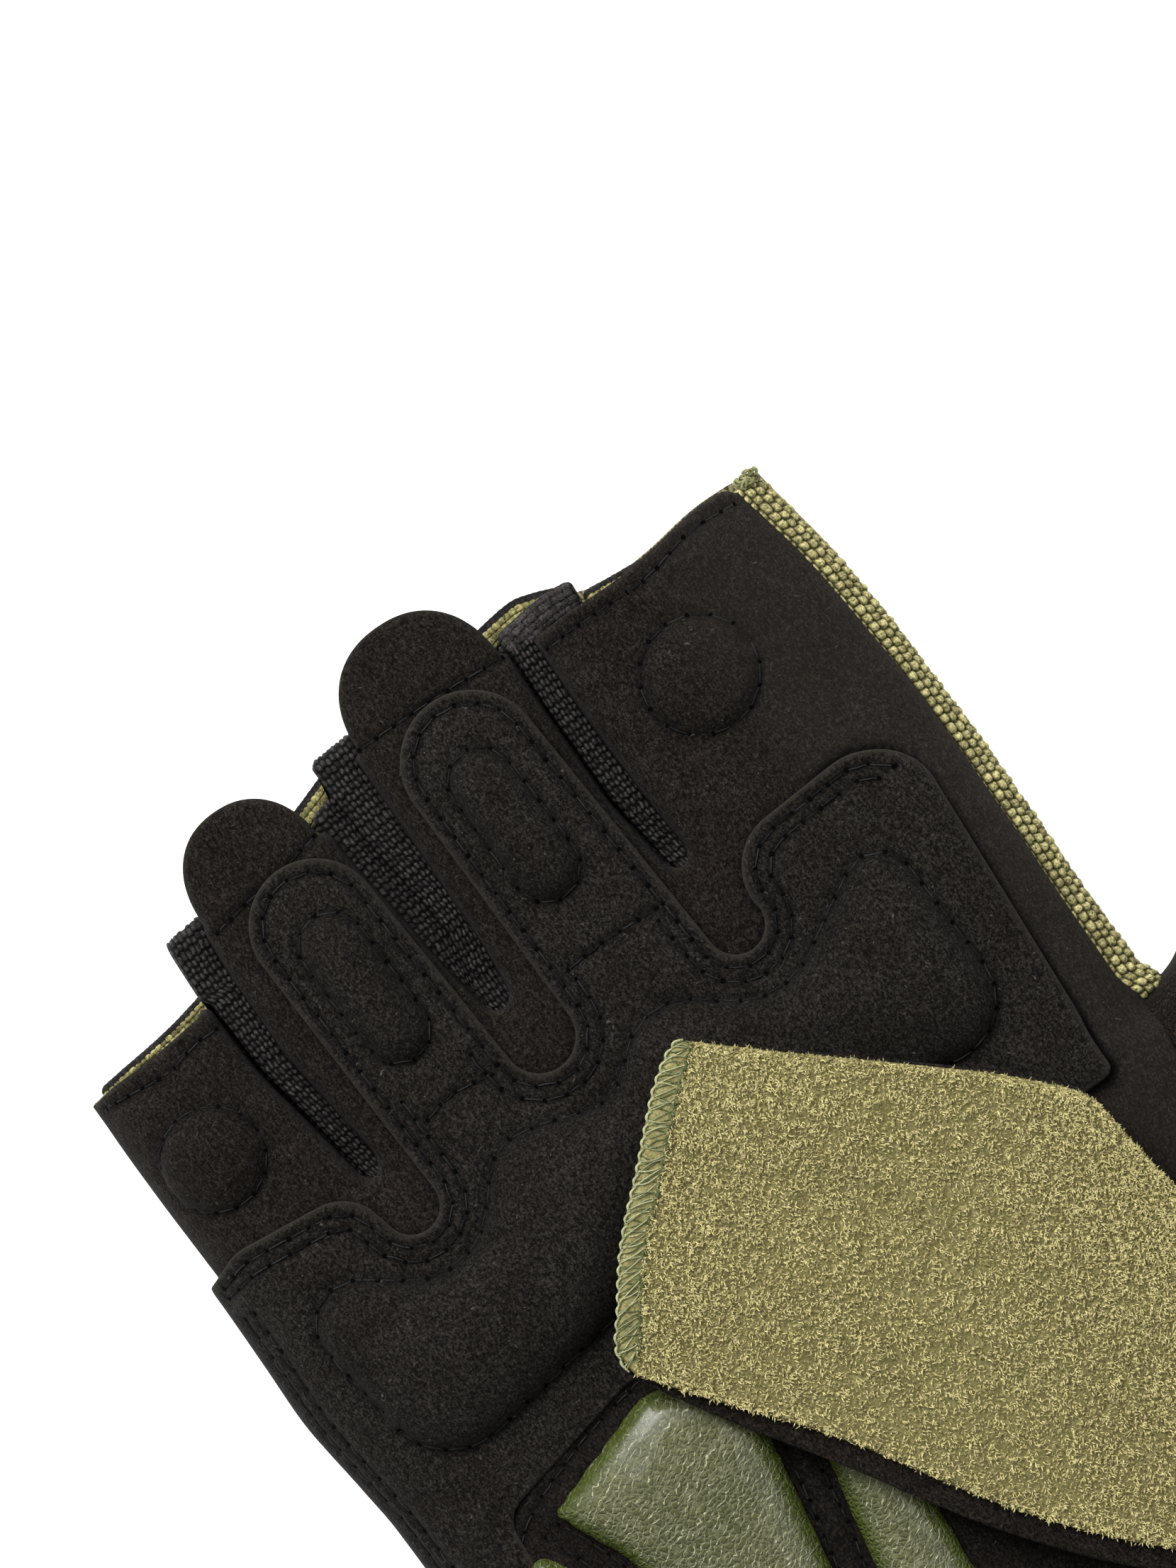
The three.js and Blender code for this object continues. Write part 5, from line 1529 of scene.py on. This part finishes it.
def overlock():
    """Slanted threads that bind the strap's free end, the cord of loops at its edge and the chain inside."""
    rng = np.random.default_rng(12)
    loops, steps = 26, 8
    t = np.linspace(0, 1, steps)
    fine = 2000
    edge_row, edge_share = end_line(0.25, fine + 1)
    start = (np.arange(loops)[:, None] + np.array(THREAD_STARTS)[None]).ravel() / loops
    slant = np.tile(THREAD_SLANTS, loops) + rng.normal(0, 0.013, 4 * loops)
    low = np.tile(THREAD_LOW, loops)
    count = len(start)
    at_edge = np.round(start * fine).astype(int)
    inner_share = np.clip(0.05 + 0.935 * (start + slant), 0.045, 0.985)
    inner_row = serge_row(inner_share)[:, None] + rng.normal(0, 0.008, (count, 1))
    row = inner_row + (edge_row[at_edge][:, None] - inner_row) * t[None]
    across = inner_share[:, None] + (edge_share[at_edge] - inner_share)[:, None] * t[None]
    across = across + rng.normal(0, 0.007, (count, 1)) * np.sin(math.pi * t)[None]
    height = (PLUSH_SEAT + 0.70 + 0.24 * np.sin(math.pi * np.clip(t, 0, 0.8))[None]
              - 0.9 * np.clip(t - 0.75, 0, 1)[None] - 0.06 * low[:, None] + rng.normal(0, 0.03, (count, 1)))
    places = strap_place(row.ravel(), across.ravel(), height.ravel())[0].reshape(count, steps, 3)

    cord_row, cord_share = end_line(0.05, loops * (steps - 1) + 1)
    index = np.arange(loops)[:, None] * (steps - 1) + np.arange(steps)[None]
    cord_height = PLUSH_SEAT + 0.28 + 0.14 * np.sin(math.pi * t)[None] * np.ones((loops, 1))
    scallop = 0.028 - 0.034 * np.sin(math.pi * t)[None]
    cord = strap_place((cord_row[index] + scallop).ravel(), cord_share[index].ravel(), cord_height.ravel())[0]

    chains = 27
    share = 0.05 + 0.93 * (np.arange(chains) + 0.5) / chains
    links = np.clip(share[:, None] + (t[None] - 0.5) * 1.25 / chains, 0.045, 0.985)
    link_row = serge_row(links) + 0.018 * np.sin(2 * math.pi * t)[None]
    link_height = np.tile(PLUSH_SEAT + 0.84 + 0.16 * np.sin(math.pi * t), (chains, 1))
    chain = strap_place(link_row.ravel(), links.ravel(), link_height.ravel())[0].reshape(chains, steps, 3)

    radii = np.concatenate([np.full((count, steps), THREAD_RADIUS),
                            np.tile(CORD_RADIUS + 0.06 * np.sin(math.pi * t), (loops, 1)),
                            np.full((chains, steps), CHAIN_RADIUS)])
    shade = np.concatenate([np.where(low > 0, rng.uniform(0.0, 0.35, count), rng.uniform(0.4, 1, count)),
                            rng.uniform(0.8, 1, loops), rng.uniform(0.0, 0.15, chains)])
    return tubes("overlocked_end", np.concatenate([places, cord.reshape(loops, steps, 3), chain]), radii, 6,
                 {"shade": shade})


serged = overlock()
serged.data.materials.append(GREEN_THREAD)


# Stitches


def sewing(name, layer, holes, closed_rows=()):
    """Threads that rise out of one needle hole and dip into the next, and dark dots of painted shade in the
    holes.
    """
    starts, ends = [], []
    for number, row in enumerate(holes):
        after = np.roll(row, -1, axis=0) if number in closed_rows else row[1:]
        starts.append(row[:len(after)])
        ends.append(after)
    start, end = np.vstack(starts), np.vstack(ends)
    count, steps = len(start), 6
    t = np.linspace(0, 1, steps)
    rng = np.random.default_rng(len(name))
    flat = start[:, None] + (end - start)[:, None] * t[None, :, None]
    flat = flat + rng.normal(0, 0.06, (count, 1, 2)) * np.sin(math.pi * t)[None, :, None]
    flat = flat.reshape(-1, 2)
    hidden = rng.uniform(0, 1, count) ** 2
    out = layer.out(flat) + (0.20 * np.sin(math.pi * t)[None] - 0.02 - 0.18 * hidden[:, None]).ravel()
    paths = palm_face(flat, out).reshape(count, steps, 3)
    radii = np.tile(np.interp(t, [0, 0.25, 0.75, 1], [0.05, 0.09, 0.09, 0.05]), (count, 1))
    threads = tubes(name + "_threads", paths, radii, 5, {"shade": rng.uniform(0, 1, count)})
    threads.data.materials.append(BLACK_THREAD)
    # dark dots that paint the shade inside each needle hole
    marks = np.vstack(holes)
    turns = np.arange(6) * math.pi / 3
    ring = np.stack([np.cos(turns), np.sin(turns)], 1) * 0.30
    sizes = rng.uniform(0.65, 1.15, (len(marks), 1, 2))
    around = (marks[:, None] + ring[None] * sizes).reshape(-1, 2)
    level = layer.out(marks)
    rim = palm_face(around, layer.out(around) + 0.10).reshape(-1, 6, 3)
    middle = palm_face(marks, level + 0.22)[:, None]
    places = np.concatenate([rim, middle], axis=1).reshape(-1, 3)
    base = np.arange(len(marks))[:, None] * 7
    faces = np.concatenate([base + [k, (k + 1) % 6, 6] for k in range(6)]).tolist()
    dots = from_arrays(name + "_needle_hole_shade", places, faces)
    dots.data.materials.append(NEEDLE_HOLE_SHADE)
    return threads, dots


def closed(rows):
    """Which rows of holes run back to their own start."""
    return {k for k, row in enumerate(rows) if np.hypot(*(row[0] - row[-1])) < 4.5 and len(row) > 6}


sewn_pieces = []
sewn_pieces += sewing("overlay", overlay_layer, overlay_holes, closed(overlay_holes))
sewn_pieces += sewing("palm", palm_layer, palm_holes, closed(palm_holes))
sewn_pieces += sewing("heel", cuff_layer, cuff_holes)


KNOT_RADIUS = 0.16


def corner_knot():
    """Thread ends curled and sewn down at the strip's top corner."""
    rng = np.random.default_rng(41)
    count, steps = 26, 12
    t = np.linspace(0, 1, steps)
    x = 34.5 + rng.uniform(-0.9, 1.2, (count, 1))
    y = 18.2 + rng.uniform(-0.8, 0.4, (count, 1))
    size, start = rng.uniform(0.3, 0.7, (count, 1)), rng.uniform(0, 6.3, (count, 1))
    turn = start + rng.uniform(2.2, 4.2, (count, 1)) * t[None]
    places = np.stack([x + size * np.cos(turn), y + 0.75 * size * np.sin(turn),
                       6.0 + rng.uniform(0, 0.8, (count, 1)) + 0.35 * np.sin(math.pi * t)[None]], axis=2)
    item = tubes("strip_corner_knot", places, np.full((count, steps), KNOT_RADIUS), 6,
                 {"shade": rng.uniform(0, 0.8, count)})
    item.data.materials.append(KNOT_YARN)
    return item


knot = corner_knot()


# Thumb and wrist


def thumb_half(front):
    """The palm half or the back half of the thumb stall, open at its end."""
    rows = np.arange(len(THUMB_ROWS))
    columns = [smooth_curve(rows, THUMB_ROWS[:, k]) for k in range(5)]

    def place(across, along):
        row = 3 * along
        ax, ay, bx, by, top = (column(row) for column in columns)
        rise = arch(np.minimum(across, 1 - across) / THUMB_ROLL)
        x = ax + (bx - ax) * across + 0.3
        y = ay + (by - ay) * across
        z = SEAM + (top - SEAM) * rise if front else BACK_SEAM - BACK_SEAM * rise
        flat = np.stack([across * 30, row * 9], axis=1)
        z = z + (0.2 * big_folds(flat) * rise if front else 0)
        return np.stack([x, y, z], 1), flat, {"painted_shade": np.zeros(len(x)), "pale_and_highlight": np.zeros(len(x))}

    item = sheet_grid("thumb_palm_side" if front else "thumb_back_side", 40, 60, place, flip=not front)
    item.data.materials.append(PALM_SUEDE if front else GREEN_KNIT)
    thicken(item, SUEDE if front else KNIT)
    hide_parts("thumb_front" if front else "thumb_back")
    return item


thumb = [thumb_half(True), thumb_half(False)]


def binding():
    """The cloth tape folded round the wrist opening."""
    across = np.linspace(left_rim(WRIST), right_rim(WRIST), 120)
    top = palm_face(np.stack([across, np.full(120, WRIST)], 1), np.full(120, 0.45))[:, [0, 2]]
    little, _, index, _, _, rim = section(np.array([WRIST]))
    low = float(little[0] + BACK_ROLL - (BACK_ROLL + BACK_SEAM) / 2 * math.pi / 2)
    high = float(index[0] - BACK_ROLL + (BACK_ROLL + rim[0]) / 2 * math.pi / 2)
    under = np.linspace(high, low, 100)
    bottom = back_face(np.stack([under, np.full(100, WRIST)], 1), np.full(100, 1.1))[:, [0, 2]]
    loop = spaced(np.vstack([top, bottom]), 0.8, True)
    ahead, behind = np.roll(loop, -1, 0), np.roll(loop, 1, 0)
    along = ahead - behind
    normal = np.stack([-along[:, 1], along[:, 0]], 1) / np.linalg.norm(along, axis=1)[:, None]
    count = len(loop)

    def place(around, section_share):
        k = np.round(around * count).astype(int) % count
        turn = 2 * math.pi * section_share
        bulge = 1.05 + 0.06 * np.sin(k * 2.1)
        out = bulge * np.sign(np.cos(turn)) * np.abs(np.cos(turn)) ** 0.6
        y = WRIST - 1.6 + 2.2 * np.sign(np.sin(turn)) * np.abs(np.sin(turn)) ** 0.6
        spot = loop[k] + normal[k] * out[:, None]
        z = np.maximum(spot[:, 1], 0.02)
        flat = np.stack([around * count * 0.8, section_share * 9], 1)
        return np.stack([spot[:, 0], y, z], 1), flat, {"painted_shade": np.zeros(len(k)), "pale_and_highlight": np.zeros(len(k))}

    item = sheet_grid("wrist_tape", 16, count, place, closed=True)
    item.data.materials.append(HEEL_SUEDE)
    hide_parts("wrist_binding")
    return item


tape = binding()

for item in [palm, overlay, back, strip, *fourchettes, *hems, knot, cuff, *leather_pads, strap, plush, fibres,
             serged, *sewn_pieces, *thumb, tape]:
    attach(item, "root")


# Floor, light and camera


def pale_floor():
    """A plain pale floor under the glove."""
    made = bpy.data.meshes.new("floor")
    net = bmesh.new()
    bmesh.ops.create_grid(net, x_segments=1, y_segments=1, size=2.0)
    net.to_mesh(made)
    net.free()
    item = bpy.data.objects.new("floor", made)
    bpy.context.scene.collection.objects.link(item)
    material, _, shader = new_material("pale floor")
    shader.inputs["Base Color"].default_value = (0.9, 0.9, 0.9, 1)
    shader.inputs["Roughness"].default_value = 0.9
    shader.inputs["Emission Color"].default_value = (1, 1, 1, 1)
    shader.inputs["Emission Strength"].default_value = 0.62
    made.materials.append(material)


def soft_light(name, place, aim, size, power):
    """A square lamp turned to its aim; its power is in watts."""
    light = bpy.data.lights.new(name, "AREA")
    light.shape = "SQUARE"
    light.size = size
    light.energy = power
    item = bpy.data.objects.new(name, light)
    item.location = place
    direction = np.asarray(aim, float) - np.asarray(place, float)
    item.rotation_euler = Vector(direction).to_track_quat("-Z", "Y").to_euler()
    bpy.context.scene.collection.objects.link(item)


pale_floor()
CENTRE = (0.0033, 0.05475, 0.014)       # the middle of the picture, in metres
TURN = math.radians(-35)                # how far the picture is turned from the glove's own upright


def in_picture(right, up, high):
    """A place given to the right of and above the middle of the picture, and above the floor."""
    c, s = math.cos(TURN), math.sin(TURN)
    return (CENTRE[0] + right * c - up * s, CENTRE[1] + right * s + up * c, high)


soft_light("window", in_picture(-0.75, 0.75, 0.85), CENTRE, 0.7, 19)
soft_light("skylight", in_picture(-0.5, 0.45, 1.2), CENTRE, 0.6, 4.5)
soft_light("fill", in_picture(0.8, 0.1, 0.9), CENTRE, 0.9, 2.5)
world = bpy.data.worlds.new("studio")
world.use_nodes = True
world.node_tree.nodes["Background"].inputs["Color"].default_value = (1, 1, 1, 1)
world.node_tree.nodes["Background"].inputs["Strength"].default_value = 0.33
bpy.context.scene.world = world
bpy.context.scene.view_settings.view_transform = "Standard"

CAMERA_HEIGHT = 1.0                     # above the middle of the picture
PICTURE_HIGH = 0.17696                  # what the picture takes in from bottom to top, at that height
camera = bpy.data.cameras.new("camera")
camera.sensor_fit = "VERTICAL"
camera.sensor_height = 36
camera.lens = camera.sensor_height * CAMERA_HEIGHT / PICTURE_HIGH
camera_item = bpy.data.objects.new("camera", camera)
camera_item.location = (CENTRE[0], CENTRE[1], CENTRE[2] + CAMERA_HEIGHT)
camera_item.rotation_euler = (0, 0, TURN)
bpy.context.scene.collection.objects.link(camera_item)
bpy.context.scene.camera = camera_item
